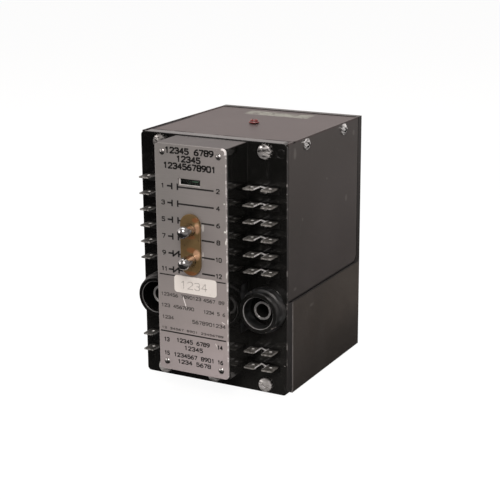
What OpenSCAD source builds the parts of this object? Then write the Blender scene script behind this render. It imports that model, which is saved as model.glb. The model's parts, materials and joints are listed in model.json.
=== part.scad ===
// Panel relay with six bridging contacts, two coils and a rocker that a magnet holds both ways.
// Lengths are in millimetres. Z is up from the underside, and the face looks along -Y.
// Depths along Y are counted rearward from the front of the face plate.

/* [Case] */
// Overall width of the case
case_width = 96.6; // [94:0.2:110]
// Overall height of the case
case_height = 150; // [149:0.5:160]
// Depth from the front of the face plate to the rear wall
case_depth = 103; // [100:0.5:125]
// Wall thickness of the moulded case
case_wall = 2.4; // [2:0.1:3]
// Height of the seam between the case and the side panels
seam_height = 57; // [45:0.5:66]
// Gap that shows at the seam
seam_gap = 0.8; // [0.4:0.1:1.2]
// Sheet thickness of the side panels and the top panel
sheet = 1; // [0.8:0.1:1.2]
// Depth of the top panel below the edges round it
top_recess = 0.4; // [0.2:0.1:2.5]
// Width of the case's rear band beside the side panels
rear_band = 4.8; // [4:0.1:8]
// Cut on the lower rear corner of a side panel
panel_corner_cut = 3.5; // [2:0.5:6]

/* [Base] */
// Thickness of the face plate
face_thickness = 6.6; // [5:0.1:8]
// Corner radius of the face plate
face_corner = 3; // [1:0.5:4]
// Bevel on the front edge of the face plate
face_bevel = 0.3; // [0.3:0.1:1.2]
// Width of the raised block
block_width = 46; // [45:0.5:47]
// Height of the block's underside above the case's
block_bottom = 14.2; // [12:0.2:15]
// Drop of the block's top below the case's top
block_top_drop = 0.6; // [0.4:0.1:2]
// How far the block stands out of the face
block_depth = 23.8; // [22:0.1:30]
// Wall thickness of the hollow block
block_wall = 2.5; // [2:0.1:3.5]
// Rounding of the block's upright edges
block_edge = 1.4; // [0.5:0.1:2]
// Distance of the shallow round mark from the screw beside it
mark_distance = 9.6; // [9:0.1:10]

/* [Mounting bosses] */
// Distance of a boss from the middle
boss_offset = 34.4; // [34:0.1:34.5]
// Height of the bosses
boss_height = 52.1; // [51:0.1:53]
// How far a boss stands out of the face
boss_reach = 10; // [8:0.5:11]
// Outer radius of a boss's shoulder
boss_radius = 13.4; // [13:0.1:13.5]
// Length of a boss's wide shoulder
boss_shoulder = 5.8; // [4:0.1:7]
// Step from a boss's shoulder to its ring
boss_step = 1.2; // [0.8:0.1:1.6]
// Radius of the recess in a boss
boss_recess_radius = 9.5; // [9:0.1:10.5]
// Depth of the recess floor behind the front of the face plate
boss_floor = 2; // [0:0.2:3]
// Outer radius of a mounting sleeve
sleeve_radius = 5.5; // [5:0.1:6]
// Bore radius of a mounting sleeve
sleeve_bore = 4.2; // [3.6:0.1:4.4]
// How far a sleeve stands out of the face
sleeve_reach = 4.3; // [2:0.1:6]

/* [Nameplate] */
// Height of the nameplate
plate_height = 135; // [133:0.1:135.2]
// Thickness of the nameplate
plate_thickness = 1; // [0.8:0.1:1.5]
// Corner radius of the nameplate
plate_corner = 2.4; // [1:0.1:4]
// Width of the flag slot
slot_width = 14; // [10:0.5:15]
// Height of the flag slot
slot_height = 3.8; // [3:0.1:4.6]
// Height of the flag slot's middle above the top terminal row
slot_rise = 3.2; // [3:0.1:4.5]
// Distance of the flag slot's middle to the left of the plate's
slot_shift = 0.9; // [0:0.1:1.5]
// Inset of the corner rivets
rivet_inset = 4.8; // [4:0.1:5.5]
// Head radius of a nameplate rivet
rivet_head = 1.9; // [1.5:0.1:2.2]
// Length of the stick-on tag
tag_length = 28; // [20:0.5:30]
// Height of the stick-on tag
tag_height = 10.2; // [8:0.2:11]
// Distance of the tag's middle to the right of the plate's
tag_shift = 2.2; // [0:0.05:3]
// Gap between the tag and the guide plate above it
tag_gap = 1.2; // [1:0.1:3]
// Thickness of the stick-on tag
tag_thickness = 0.5; // [0.4:0.1:0.8]

/* [Push pins] */
// Length of the brass guide plate
guide_length = 36; // [34:0.5:38]
// Width of the brass guide plate
guide_width = 12.8; // [12:0.2:14]
// Thickness of the brass guide plate
guide_thickness = 1.5; // [1.2:0.1:2]
// Drop of the guide plate's middle below the top terminal row
guide_drop = 32.5; // [32:0.5:33]
// Distance between the two pins
pin_spacing = 18.2; // [17.5:0.1:19]
// Radius of a pin's domed end
pin_radius = 3.6; // [3.2:0.1:4]
// How far a pin stands out of the guide plate
pin_reach = 10.6; // [9:0.2:12]
// Radius of a pin's inner rod
pin_rod = 1.25; // [1.1:0.05:1.35]

/* [Terminals] */
// Distance of a terminal's middle from the middle of the relay
terminal_offset = 34.4; // [34:0.1:34.6]
// Drop of the top terminal row below the case's top
row_drop = 25; // [25:0.5:26]
// Spacing of the terminal rows
row_pitch = 9.75; // [9.5:0.05:9.9]
// Height of the upper coil terminal row
coil_row_height = 28.2; // [26:0.1:29]
// Overall width of a terminal
terminal_width = 18.2; // [17.8:0.1:18.6]
// Width of one tab
tab_width = 6.35; // [6.2:0.05:6.5]
// How far the tabs stand out of the face
tab_reach = 11; // [10:0.5:12]
// Distance of the notch's point between the tabs from the face
notch_end = 2.4; // [2:0.1:4]
// Sheet thickness of a terminal
tab_thickness = 0.8; // [0.7:0.05:0.9]
// Height of a terminal's back plate
terminal_foot = 4.4; // [4:0.1:5]

/* [Screws] */
// Distance of the upper and lower face screws from the middle
face_screw_offset = 34.5; // [33:0.1:35]
// Drop of the upper face screws below the case's top
face_screw_drop = 5.2; // [5.2:0.1:6]
// Height of the lower face screws
face_screw_height = 5.3; // [5.2:0.1:6]
// Head radius of a face screw
face_screw_head = 4.1; // [3.6:0.1:4.3]
// Thread radius of a face screw
face_screw_thread = 1.8; // [1.6:0.1:2.2]
// How far a face screw reaches behind the face plate
face_screw_grip = 8; // [6:0.5:10]
// Head radius of a panel screw
panel_screw_head = 3.4; // [2.5:0.1:3.6]
// Drop of the panel screws below the case's top
panel_screw_drop = 4; // [4:0.1:5.5]
// Depth of the first panel screw
panel_screw_first = 24; // [22:0.1:30]
// Spacing of the panel screws
panel_screw_spacing = 51.5; // [45:0.5:55]

/* [Mechanism] */
// Travel of the contact carrier
carrier_travel = 3; // [2.6:0.1:3.2]
// Width of the contact carrier
carrier_width = 11; // [10:0.2:12]
// Depth of the windows in the carrier
window_depth = 8; // [7.5:0.1:8.5]
// Distance from the rocker's pivot to its link with the carrier
link_radius = 25.7; // [25.4:0.1:26]
// Drop of the rocker's pivot below the top terminal row
pivot_drop = 24.5; // [24.2:0.1:25]
// Depth of the rocker's pivot
pivot_depth = 40; // [39.5:0.5:44]
// Thickness of the rocker's plate
rocker_thickness = 2.4; // [2:0.1:2.6]
// Width of the rocker
rocker_width = 16; // [14:0.5:17]
// Distance of a coil's axis from the height of the pivot
coil_offset = 19; // [18.8:0.1:19.4]
// Length of a coil's bobbin
coil_length = 36; // [30:0.5:38]
// Radius of a bobbin's flanges
bobbin_radius = 13; // [12:0.1:13.4]
// Radius of a coil's core
core_radius = 4.5; // [4:0.1:4.8]
// Thickness of the yoke plate
yoke_thickness = 4; // [3:0.5:5]
// Distance of a frame post from the middle
post_offset = 25; // [24.7:0.1:25.5]
// Radius of a frame post
post_radius = 3.5; // [3:0.1:4]
// Radius of the carrier's guide rods
guide_rod = 1.5; // [1.3:0.1:1.8]

/* [Hidden] */

// Clearances: faces that only lie near each other, running fits, and static holes
close = 0.2;
running = 0.05;
hole_clearance = 0.15;
// Smoothness of round parts
fine = 64;
medium = 40;
coarse = 28;

// Rows: 1 to 6 are contacts, 7 and 8 are coils
contact_rows = 6;
open_rows = 4;
row_top = case_height - row_drop;
function row_z(row) = row <= contact_rows
    ? row_top - (row - 1) * row_pitch
    : coil_row_height - (row - contact_rows - 1) * row_pitch;

// Face and case
half_width = case_width / 2;
side_inner = half_width - sheet;
top_face = case_height - top_recess;
band_depth = case_depth - rear_band;
panel_start = 2;
panel_end = band_depth - 0.7;
panel_bottom = seam_height + seam_gap / 2;
case_top_edge = seam_height - seam_gap / 2;
lip_height = 5;
lip_offset = side_inner - 0.1 - case_wall / 4;
tray_flange = 8;
boss_block = 10;
boss_block_length = face_screw_grip + 6;

// Block and what it carries
block_half = block_width / 2;
block_top = case_height - block_top_drop;
block_inner = block_half - block_wall;
block_front_inside = -block_depth + block_wall;
plate_bottom = block_top - plate_height;
plate_front = -block_depth - plate_thickness;
slot_z = row_top + slot_rise;
window_wall = 0.8;
window_flange = 1;
window_pane = 0.6;
guide_z = row_top - guide_drop;
guide_front = plate_front - guide_thickness;
operate_z = guide_z + pin_spacing / 2;
reset_z = guide_z - pin_spacing / 2;
tag_z = guide_z - guide_length / 2 - tag_gap - tag_height / 2;

// Pins: dome, shank in the guide, spring collar and inner rod
pin_tip = guide_front - pin_reach;
dome_centre = pin_tip + pin_radius;
collar_depth = -12;
collar_thickness = 1.5;
collar_radius = 5;
spring_wire = 0.7;
spring_turns = 5;

// Terminals
stud_drop = 3;
stud_radius = 1.5;
stud_head = 1.7;
stud_spacer = 3;
bend_radius = 0.5;
slot_between_tabs = terminal_width - 2 * tab_width;

// Contact rows inside: the reset pin passes half way between rows 4 and 5
contact_rise = reset_z + 1.5 * row_pitch - row_z(4);
function contact_z(row) = row_z(row) + contact_rise;
mech_plate = 1.5;
mech_plate_rear = face_thickness + mech_plate;
carrier_front = mech_plate_rear + 1.4;
carrier_front_wall = 3;
carrier_rear_wall = 2;
window_front = carrier_front + carrier_front_wall;
window_rear = window_front + window_depth;
carrier_rear = window_rear + carrier_rear_wall;
bridge_height = 4;
window_half = bridge_height / 2 + 0.3;
bridge_thickness = 1.2;
bridge_half = 14;
button_radius = 2;
button_height = 0.8;
button_x = 11.6;
strip_thickness = 1;
strip_height = 5;
strip_end = 9.4;
open_strip_front = window_rear + button_height + carrier_travel + close + button_height;
closed_strip_rear = window_front - button_height - close - button_height;
closed_strip_front = closed_strip_rear - strip_thickness;

// Rocker
rock_angle = asin(carrier_travel / link_radius);
pivot_z = row_top - pivot_drop;
link_z = pivot_z + link_radius;
rocker_half = rocker_thickness / 2;
rocker_reach = 24.6;
tongue_reach = link_radius + 1.6;
tongue_width = 5;
hub_radius = 3.2;
pivot_pin_radius = 1.5;
pole_depth = pivot_depth + rocker_half + 0.3;
lug_half = 4;
lug_below = 1.7;
lug_above = 2.3;
tongue_depth = pivot_depth - link_radius * sin(rock_angle);
link_slot_half = rocker_half / cos(rock_angle) + tongue_reach * sin(rock_angle) / 10 + 0.25;
lug_rear = tongue_depth + link_slot_half + 1.6;

// Coils and frame
bobbin_front = pole_depth + 3;
yoke_front = bobbin_front + coil_length;
yoke_rear = yoke_front + yoke_thickness;
flange_thickness = 1.5;
leg_half_height = 4;
leg_half_width = rocker_width / 2 + 1;
magnet_front = pivot_depth + hub_radius + 1;
magnet_length = 10;
cheek = 1.2;
post_gap = 4.5;
bracket_rivet_head = 2.4;
core_neck = 3;
leg_span = leg_half_width + cheek + 2;
post_rise = coil_offset + bobbin_radius + post_gap;
yoke_margin = 4.5;
yoke_half_width = post_offset + yoke_margin;
yoke_half_height = post_rise + yoke_margin;
frame_screw_grip = 6;
mech_half_height = post_rise + post_radius;
bracket_rivet_depth = bobbin_front + coil_length * 0.6;

// Flag: pivot behind the slot, its plate at the front and a forked tail below
flag_pivot_depth = -8;
flag_front = block_front_inside + 1.2;
flag_sheet = 0.8;
flag_half_width = 9.2;
flag_half_height = 2.9;
flag_hub = 2.4;
flag_pin_radius = 1;
flag_drive = 6;
finger_z = slot_z - flag_drive;
finger_half = 1.6;
drive_pin = 1.2;
tail_half = 1.25;
prong = 1.5;
prong_gap = 0.35;
lug_x = 12.5;

// Guide rods of the carrier
rod_top_z = contact_z(1) + 7.7;
rod_bottom_z = contact_z(contact_rows) - 7.5;
carrier_top = rod_top_z + 3.6;
carrier_bottom = rod_bottom_z - 3.6;

module from_face() {
    translate([0, -case_depth / 2, 0]) children();
}

// A rectangle with true round corners, centred on the origin
module rounded(width, height, r) {
    square([width - 2 * r, height], center = true);
    square([width, height - 2 * r], center = true);
    for (x = [-1, 1])
        for (y = [-1, 1])
            translate([x * (width / 2 - r), y * (height / 2 - r)]) circle(r = r, $fn = medium);
}

// An upright outline, drawn in X and Z, from one depth to another
module slab(from, to) {
    translate([0, to, 0]) rotate([90, 0, 0]) linear_extrude(to - from) children();
}

// A round bar along Y
module bar_y(x, z, r, from, to, faces = medium) {
    translate([x, to, z]) rotate([90, 0, 0]) cylinder(r = r, h = to - from, $fn = faces);
}

// A round bar along X
module bar_x(y, z, r, from, to, faces = medium) {
    translate([from, y, z]) rotate([0, 90, 0]) cylinder(r = r, h = to - from, $fn = faces);
}

// A box given by its two corners
module block(low, high) {
    translate(low) cube(high - low);
}

// A coil spring along Y, swept as one mesh
module coil_spring(x, z, r, wire, from, to, turns, steps = 12, sides = 6) {
    count = turns * steps;
    ring = function(i) let (
        a = 360 * i / steps,
        y = from + wire / 2 + (to - from - wire) * i / count
    ) [for (k = [0:sides - 1]) let (b = 360 * k / sides, q = r + wire / 2 * cos(b))
        [x + q * cos(a), y + wire / 2 * sin(b), z + q * sin(a)]];
    points = [for (i = [0:count]) each ring(i)];
    walls = [for (i = [0:count - 1]) for (k = [0:sides - 1])
        let (n = (k + 1) % sides, low = i * sides, high = low + sides)
        each [[low + k, low + n, high + n], [low + k, high + n, high + k]]];
    polyhedron(points, concat(walls,
        [[for (k = [sides - 1:-1:0]) k]],
        [[for (k = [0:sides - 1]) count * sides + k]]));
}

module for_terminals() {
    for (side = [-1, 1])
        for (row = [1:contact_rows + 2])
            translate([side * terminal_offset, 0, row_z(row) - stud_drop]) children();
}

module for_face_screws() {
    for (x = [-1, 1]) {
        translate([x * face_screw_offset, 0, case_height - face_screw_drop]) children();
        translate([x * face_screw_offset, 0, face_screw_height]) children();
    }
    translate([0, 0, face_screw_height]) children();
}

module for_rivets() {
    for (x = [-1, 1])
        for (z = [plate_bottom + rivet_inset, block_top - rivet_inset])
            translate([x * (block_half - rivet_inset), 0, z]) children();
}

module for_posts() {
    for (x = [-1, 1])
        for (z = [-1, 1])
            translate([x * post_offset, 0, pivot_z + z * post_rise]) children();
}

// Base

module face_outline(half, depth) {
    intersection() {
        slab(0, depth) translate([0, case_height / 2]) rounded(2 * half, case_height, face_corner);
        linear_extrude(case_height) polygon([
            [-half, depth], [-half, face_bevel], [face_bevel - half, 0],
            [half - face_bevel, 0], [half, face_bevel], [half, depth]
        ]);
        translate([-half, 0, 0]) rotate([90, 0, 90]) linear_extrude(2 * half) polygon([
            [depth, 0], [face_bevel, 0], [0, face_bevel],
            [0, case_height - face_bevel], [face_bevel, case_height], [depth, case_height]
        ]);
    }
}

// The plate fits between the side panels, its rim and its lower part reach over their full width
module face_plate() {
    rim = half_width - 0.1;
    face_outline(side_inner, face_thickness);
    face_outline(rim, panel_start - 0.3);
    intersection() {
        face_outline(rim, face_thickness);
        block([-half_width, -1, -1], [half_width, face_thickness + 1, case_top_edge]);
    }
}

module block_outside() {
    translate([0, -block_depth, block_bottom]) linear_extrude(block_top - block_bottom) {
        translate([-block_half + block_edge, 0]) square([block_width - 2 * block_edge, block_edge + 1]);
        translate([-block_half, block_edge]) square([block_width, block_depth - block_edge + 0.5]);
        for (x = [-1, 1])
            translate([x * (block_half - block_edge), block_edge]) circle(r = block_edge, $fn = medium);
    }
}

module boss_ring() {
    length = boss_reach + face_bevel;
    shoulder = boss_shoulder + face_bevel;
    ring = boss_radius - boss_step;
    rotate([90, 0, 0]) {
        cylinder(r = boss_radius, h = shoulder - 0.6, $fn = fine);
        translate([0, 0, shoulder - 0.6]) cylinder(r1 = boss_radius, r2 = ring + 0.2, h = 0.8, $fn = fine);
        cylinder(r = ring, h = length - 0.6, $fn = fine);
        translate([0, 0, length - 0.6]) cylinder(r1 = ring, r2 = ring - 0.5, h = 0.6, $fn = fine);
    }
}

module terminal_base() {
    color([0.07, 0.07, 0.07]) from_face() difference() {
        union() {
            face_plate();
            block_outside();
            for (x = [-1, 1])
                translate([x * boss_offset, face_bevel, boss_height]) boss_ring();
        }
        block([-block_inner, block_front_inside, block_bottom + block_wall],
            [block_inner, face_thickness + 1, block_top - block_wall]);
        for (x = [-1, 1]) {
            bar_y(x * boss_offset, boss_height, boss_recess_radius, -boss_reach - 1, boss_floor, fine);
            bar_y(x * boss_offset, boss_height, sleeve_radius + hole_clearance, 0, face_thickness + 1, fine);
        }
        for_terminals() bar_y(0, 0, stud_radius + hole_clearance, -1, face_thickness + 1, coarse);
        for_face_screws() bar_y(0, 0, face_screw_thread + hole_clearance, -1, face_thickness + 1);
        for_rivets() bar_y(0, 0, 1, -block_depth - 1, block_front_inside + 1, coarse);
        for_posts() bar_y(0, 0, 1.6, face_thickness - 4.5, face_thickness + 1, coarse);
        for (z = [operate_z, reset_z])
            bar_y(0, z, pin_radius + running, -block_depth - 1, block_front_inside + 1);
        // Seat of the window's flange and the opening behind it
        slot_block(2 + close, -block_depth - 1, -block_depth + window_flange);
        slot_block(window_wall + close, -block_depth - 1, block_front_inside + 1);
        // Shallow round mark beside the upper right screw
        translate([face_screw_offset + mark_distance, -0.1, case_height - face_screw_drop - 0.4])
            rotate([-90, 0, 0]) difference() {
                cylinder(r = 2.7, h = 0.4, $fn = coarse);
                translate([0, 0, -1]) cylinder(r = 2.2, h = 2, $fn = coarse);
            }
    }
    color([0.07, 0.07, 0.07]) from_face() flag_ears();
}

// Two ears inside the block's front wall carry the flag's pin
module flag_ears() {
    for (x = [-1, 1])
        difference() {
            union() {
                translate([x * lug_x - 1.25, block_front_inside - 0.2, slot_z - flag_hub])
                    cube([2.5, flag_pivot_depth - block_front_inside + 0.2, 2 * flag_hub]);
                bar_x(flag_pivot_depth, slot_z, flag_hub, x * lug_x - 1.25, x * lug_x + 1.25, coarse);
            }
            bar_x(flag_pivot_depth, slot_z, flag_pin_radius + running, x * lug_x - 2, x * lug_x + 2, coarse);
        }
}

module left_sleeve() {
    color("silver") from_face() sleeve(-1);
}

module right_sleeve() {
    color("silver") from_face() sleeve(1);
}

module sleeve(side) {
    difference() {
        bar_y(side * boss_offset, boss_height, sleeve_radius, -sleeve_reach, case_depth, fine);
        bar_y(side * boss_offset, boss_height, sleeve_bore, -sleeve_reach - 1, case_depth + 1, fine);
    }
}

// Nameplate, tag, window and guide plate

module nameplate() {
    color([0.55, 0.52, 0.49]) from_face() difference() {
        slab(plate_front, -block_depth) translate([0, plate_bottom + plate_height / 2])
            rounded(block_width, plate_height, plate_corner);
        slot_block(0, plate_front - 1, -block_depth + 1);
        slot_chamfer();
        for_rivets() bar_y(0, 0, 1, plate_front - 1, -block_depth + 1, coarse);
        for (z = [operate_z, reset_z])
            bar_y(0, z, pin_radius + hole_clearance, plate_front - 1, -block_depth + 1);
    }
}

// A box that is larger than the flag slot by a margin all round
module slot_block(margin, from, to) {
    w = slot_width / 2 + margin;
    h = slot_height / 2 + margin;
    block([-slot_shift - w, from, slot_z - h], [-slot_shift + w, to, slot_z + h]);
}

// Fine chamfer round the front edge of the slot
module slot_chamfer() {
    w = slot_width / 2;
    h = slot_height / 2;
    c = 0.35;
    translate([-slot_shift, plate_front, slot_z]) intersection() {
        translate([-slot_width, 0, 0]) rotate([90, 0, 90]) linear_extrude(2 * slot_width)
            polygon([[-0.1, -h - c - 0.1], [c, -h], [c, h], [-0.1, h + c + 0.1]]);
        translate([0, 0, -slot_width]) linear_extrude(2 * slot_width)
            polygon([[-w - c - 0.1, -0.1], [-w, c], [w, c], [w + c + 0.1, -0.1]]);
    }
}

module nameplate_rivets() {
    color("silver") from_face() for_rivets() {
        bar_y(0, 0, 0.95, plate_front, block_front_inside, coarse);
        translate([0, plate_front, 0]) rotate([90, 0, 0]) dome(rivet_head, 0.9);
    }
}

// A dome of the given base radius and height, standing on the XY plane
module dome(r, height) {
    ball = (r * r + height * height) / (2 * height);
    intersection() {
        translate([0, 0, height - ball]) sphere(r = ball, $fn = medium);
        cylinder(r = r + 1, h = height + 1, $fn = medium);
    }
}

// A light cup that lines the slot: flange in front, walls, and a thin pane at the rear
module flag_window() {
    color([0.8, 0.85, 0.85, 0.6]) from_face() difference() {
        union() {
            slot_block(2, -block_depth, -block_depth + window_flange);
            slot_block(window_wall, -block_depth, block_front_inside);
        }
        slot_block(0, -block_depth - 1, block_front_inside - window_pane);
    }
}

module pin_guide_plate() {
    color([0.6, 0.45, 0.2]) from_face() difference() {
        slab(guide_front, plate_front) translate([0, guide_z])
            rounded(guide_width, guide_length, guide_width / 2 - 0.01);
        for (z = [operate_z, reset_z])
            bar_y(0, z, pin_radius + running, guide_front - 1, plate_front + 1);
    }
}

module id_tag() {
    color([0.88, 0.85, 0.83]) from_face()
        slab(plate_front - tag_thickness, plate_front) translate([tag_shift, tag_z])
            rounded(tag_length, tag_height, 1.9);
}

// Push pins and their springs

module push_pin(z, rod_end) {
    translate([0, dome_centre, z]) sphere(r = pin_radius, $fn = fine);
    bar_y(0, z, pin_radius, dome_centre, collar_depth, fine);
    bar_y(0, z, collar_radius, collar_depth, collar_depth + collar_thickness);
    bar_y(0, z, pin_rod, collar_depth, rod_end - pin_rod, coarse);
    translate([0, rod_end - pin_rod, z]) sphere(r = pin_rod, $fn = coarse);
}

module operate_pin() {
    color([0.75, 0.76, 0.78]) from_face() push_pin(operate_z, carrier_front - close);
}

module reset_pin() {
    color([0.75, 0.76, 0.78]) from_face() push_pin(reset_z, pivot_depth - rocker_half - close);
}

module pin_spring(z) {
    coil_spring(0, z, pin_radius + 0.75, spring_wire, block_front_inside, collar_depth, spring_turns);
}

module operate_pin_spring() {
    color("silver") from_face() pin_spring(operate_z);
}

module reset_pin_spring() {
    color("silver") from_face() pin_spring(reset_z);
}

// Terminals

// Bent sheet seen from its end: the tabs run forward and the foot runs down
module bent_sheet() {
    outer = bend_radius + tab_thickness;
    translate([-tab_reach, -tab_thickness]) square([tab_reach - outer, tab_thickness]);
    translate([-tab_thickness, -terminal_foot]) square([tab_thickness, terminal_foot - outer]);
    translate([-outer, -outer]) intersection() {
        square(outer);
        difference() {
            circle(r = outer, $fn = medium);
            circle(r = bend_radius, $fn = medium);
        }
    }
}

module tab_outline() {
    half = terminal_width / 2;
    gap = slot_between_tabs / 2;
    point = 1.1;
    front = 1.5 - tab_reach;
    polygon([
        [-half, 0.1], [-half, front], [point - half, -tab_reach], [-gap - point, -tab_reach], [-gap, front],
        [0, -notch_end], [gap, front], [gap + point, -tab_reach], [half - point, -tab_reach], [half, front],
        [half, 0.1]
    ]);
}

module terminal(side, row) {
    half = terminal_width / 2;
    translate([side * terminal_offset, 0, row_z(row)]) difference() {
        union() {
            intersection() {
                translate([-half, 0, 0]) rotate([90, 0, 90]) linear_extrude(terminal_width) bent_sheet();
                translate([0, 0, -terminal_foot]) linear_extrude(terminal_foot + 1) tab_outline();
            }
            translate([0, 0, -terminal_foot / 2 - 0.65]) rotate([90, 0, 0])
                linear_extrude(tab_thickness) square([terminal_width, terminal_foot - 1.3], center = true);
        }
        bar_y(0, -stud_drop, stud_radius + hole_clearance, -tab_thickness - 1, 1, coarse);
        for (x = [-1, 1])
            translate([x * (half - tab_width / 2), -tab_reach + 5, 1.0]) sphere(r = 1.4, $fn = coarse);
    }
}

// A stud: rounded head outside, shank through the face, spacer, strip and riveted end inside
module stud(strip_front) {
    end = strip_front + strip_thickness;
    translate([0, -tab_thickness, 0]) rotate([90, 0, 0]) dome(stud_head, 0.9);
    bar_y(0, 0, stud_radius, -tab_thickness - 0.1, end, coarse);
    bar_y(0, 0, stud_spacer, face_thickness, strip_front, coarse);
    bar_y(0, 0, stud_spacer - 0.6, end, end + 1, coarse);
}

module terminal_studs() {
    color("silver") from_face() for (side = [-1, 1])
        for (row = [1:contact_rows + 2])
            translate([side * terminal_offset, 0, row_z(row) - stud_drop])
                stud(row <= open_rows ? open_strip_front
                    : row <= contact_rows ? closed_strip_front
                    : face_thickness + 2);
}

// Face screws and washers

washer_thickness = 0.9;

module face_screws() {
    length = face_thickness + face_screw_grip;
    color("silver") from_face() for_face_screws() difference() {
        union() {
            translate([0, -washer_thickness - 1.1, 0]) rotate([90, 0, 0]) dome(face_screw_head, 1.1);
            bar_y(0, 0, face_screw_head, -washer_thickness - 1.1, -washer_thickness);
            bar_y(0, 0, face_screw_thread, -washer_thickness - 0.1, length);
        }
        rotate([0, 24, 0]) translate([-6, -washer_thickness - 3, -0.5]) cube([12, 1.9, 1]);
    }
}

module face_washers() {
    color("silver") from_face() for_face_screws() difference() {
        bar_y(0, 0, face_screw_head + 0.6, -washer_thickness, 0);
        bar_y(0, 0, face_screw_thread + hole_clearance, -washer_thickness - 1, 1);
    }
}

// Case and panels

// A side of the case, drawn in Y and Z: low wall, rising to the rear band
module case_side(grow = 0) {
    cut = panel_corner_cut;
    polygon([
        [face_thickness, 0], [case_depth, 0], [case_depth, case_height], [band_depth, case_height],
        [band_depth, case_top_edge + cut], [band_depth - cut, case_top_edge],
        [face_thickness, case_top_edge]
    ]);
}

module case_shell_cut() {
    inner = half_width - case_wall;
    block([-inner, face_thickness - 1, case_wall], [inner, case_depth - case_wall, case_height - case_wall]);
    block([-inner, 0, case_wall], [inner, band_depth, case_height + 1]);
}

module case_body() {
    color([0.2, 0.19, 0.18]) from_face() difference() {
        union() {
            difference() {
                translate([-half_width, 0, 0]) rotate([90, 0, 90]) linear_extrude(case_width) case_side();
                case_shell_cut();
            }
            // Lips inside the side panels
            for (x = [-1, 1])
                translate([x * lip_offset - case_wall / 4, face_thickness + 2, case_top_edge - 8])
                    cube([case_wall / 2, band_depth - face_thickness - 8, lip_height + 8]);
            // Blocks that the lower face screws thread into
            for (x = [-face_screw_offset, 0, face_screw_offset])
                block([x - boss_block / 2, face_thickness, 0],
                    [x + boss_block / 2, face_thickness + boss_block_length, boss_block]);
        }
        for (x = [-face_screw_offset, 0, face_screw_offset])
            bar_y(x, face_screw_height, face_screw_thread, face_thickness - 1,
                face_thickness + boss_block_length - 3);
        for (x = [-1, 1])
            bar_y(x * boss_offset, boss_height, sleeve_radius + hole_clearance,
                case_depth - 10, case_depth + 1, fine);
    }
}

module side_panel(side) {
    cut = panel_corner_cut;
    translate([side > 0 ? side_inner : -half_width, 0, 0]) difference() {
        rotate([90, 0, 90]) linear_extrude(sheet) polygon([
            [panel_start, panel_bottom], [panel_end - cut, panel_bottom], [panel_end, panel_bottom + cut],
            [panel_end, case_height], [panel_start, case_height]
        ]);
        for (y = [panel_screw_first, panel_screw_first + panel_screw_spacing])
            bar_x(y, case_height - panel_screw_drop, 1.5, -1, sheet + 1, coarse);
    }
}

module left_side_panel() {
    color([0.28, 0.26, 0.25]) from_face() side_panel(-1);
}

module right_side_panel() {
    color([0.28, 0.26, 0.25]) from_face() side_panel(1);
}

// A shallow tray, open below, between the side panels
module top_panel() {
    low = top_face - tray_flange;
    color([0.45, 0.43, 0.41]) from_face() difference() {
        block([-side_inner, face_thickness, low], [side_inner, band_depth, top_face]);
        block([-side_inner + sheet, face_thickness + sheet, low - 1],
            [side_inner - sheet, band_depth - sheet, top_face - sheet]);
        for (x = [-1, 1])
            bar_y(x * face_screw_offset, case_height - face_screw_drop, face_screw_thread,
                face_thickness - 1, face_thickness + sheet + 1);
        for (y = [panel_screw_first, panel_screw_first + panel_screw_spacing])
            bar_x(y, case_height - panel_screw_drop, 1.3, -half_width, half_width, coarse);
        bar_z(seal_x, seal_depth, 1.3, top_face - 3, top_face + 1);
    }
}

module bar_z(x, y, r, from, to) {
    translate([x, y, from]) cylinder(r = r, h = to - from, $fn = coarse);
}

module panel_screws() {
    color("silver") from_face() for (side = [-1, 1])
        for (y = [panel_screw_first, panel_screw_first + panel_screw_spacing])
            translate([side * half_width, y, case_height - panel_screw_drop]) rotate([0, side * 90, 0])
                difference() {
                    union() {
                        cylinder(r = panel_screw_head, h = 0.8, $fn = medium);
                        translate([0, 0, 0.7]) dome(panel_screw_head - 0.1, 1.5);
                        translate([0, 0, -sheet * 2 - 2])
                            cylinder(r = 1.3, h = sheet * 2 + 2.5, $fn = coarse);
                    }
                    rotate([0, 0, 35]) translate([-0.4, -4, 1.2]) cube([0.8, 8, 2]);
                }
}

// Red seal in a small cup over the adjusting screw in the middle of the top
seal_x = 0;
seal_depth = case_depth / 2;

module top_seal() {
    color([0.5, 0.1, 0.08]) from_face() translate([seal_x, seal_depth, top_face]) {
        difference() {
            cylinder(r = 3.4, h = 1.6, $fn = medium);
            translate([0, 0, 0.8]) cylinder(r = 2.7, h = 2, $fn = medium);
        }
        translate([0, 0, 0.6]) cylinder(r = 2.75, h = 0.5, $fn = medium);
        translate([0, 0, 1.1]) dome(2.7, 1.5);
        translate([0, 0, -2.5]) cylinder(r = 1.2, h = 3, $fn = coarse);
    }
}

// Frame

module mechanism_plate() {
    half_w = yoke_half_width;
    color([0.35, 0.22, 0.12]) from_face() difference() {
        slab(face_thickness, mech_plate_rear) translate([0, pivot_z])
            rounded(2 * half_w, 2 * mech_half_height, 2);
        block([-7, face_thickness - 1, reset_z - 6], [7, mech_plate_rear + 1, finger_z + 5]);
        for_posts() bar_y(0, 0, 1.6, face_thickness - 1, mech_plate_rear + 1, coarse);
        for (z = [rod_top_z, rod_bottom_z])
            bar_y(0, z, guide_rod, face_thickness - 1, mech_plate_rear + 1, coarse);
    }
}

module guide_rods() {
    color("silver") from_face() for (z = [rod_top_z, rod_bottom_z])
        bar_y(0, z, guide_rod, face_thickness, carrier_rear + carrier_travel + 1.5, coarse);
}

module frame_posts() {
    color("silver") from_face() for_posts() difference() {
        union() {
            bar_y(0, 0, post_radius, mech_plate_rear, yoke_front, coarse);
            bar_y(0, 0, 1.5, face_thickness - 4, mech_plate_rear + 1, coarse);
        }
        bar_y(0, 0, 1.4, yoke_front - frame_screw_grip - 2, yoke_front + 1, coarse);
    }
}

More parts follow.
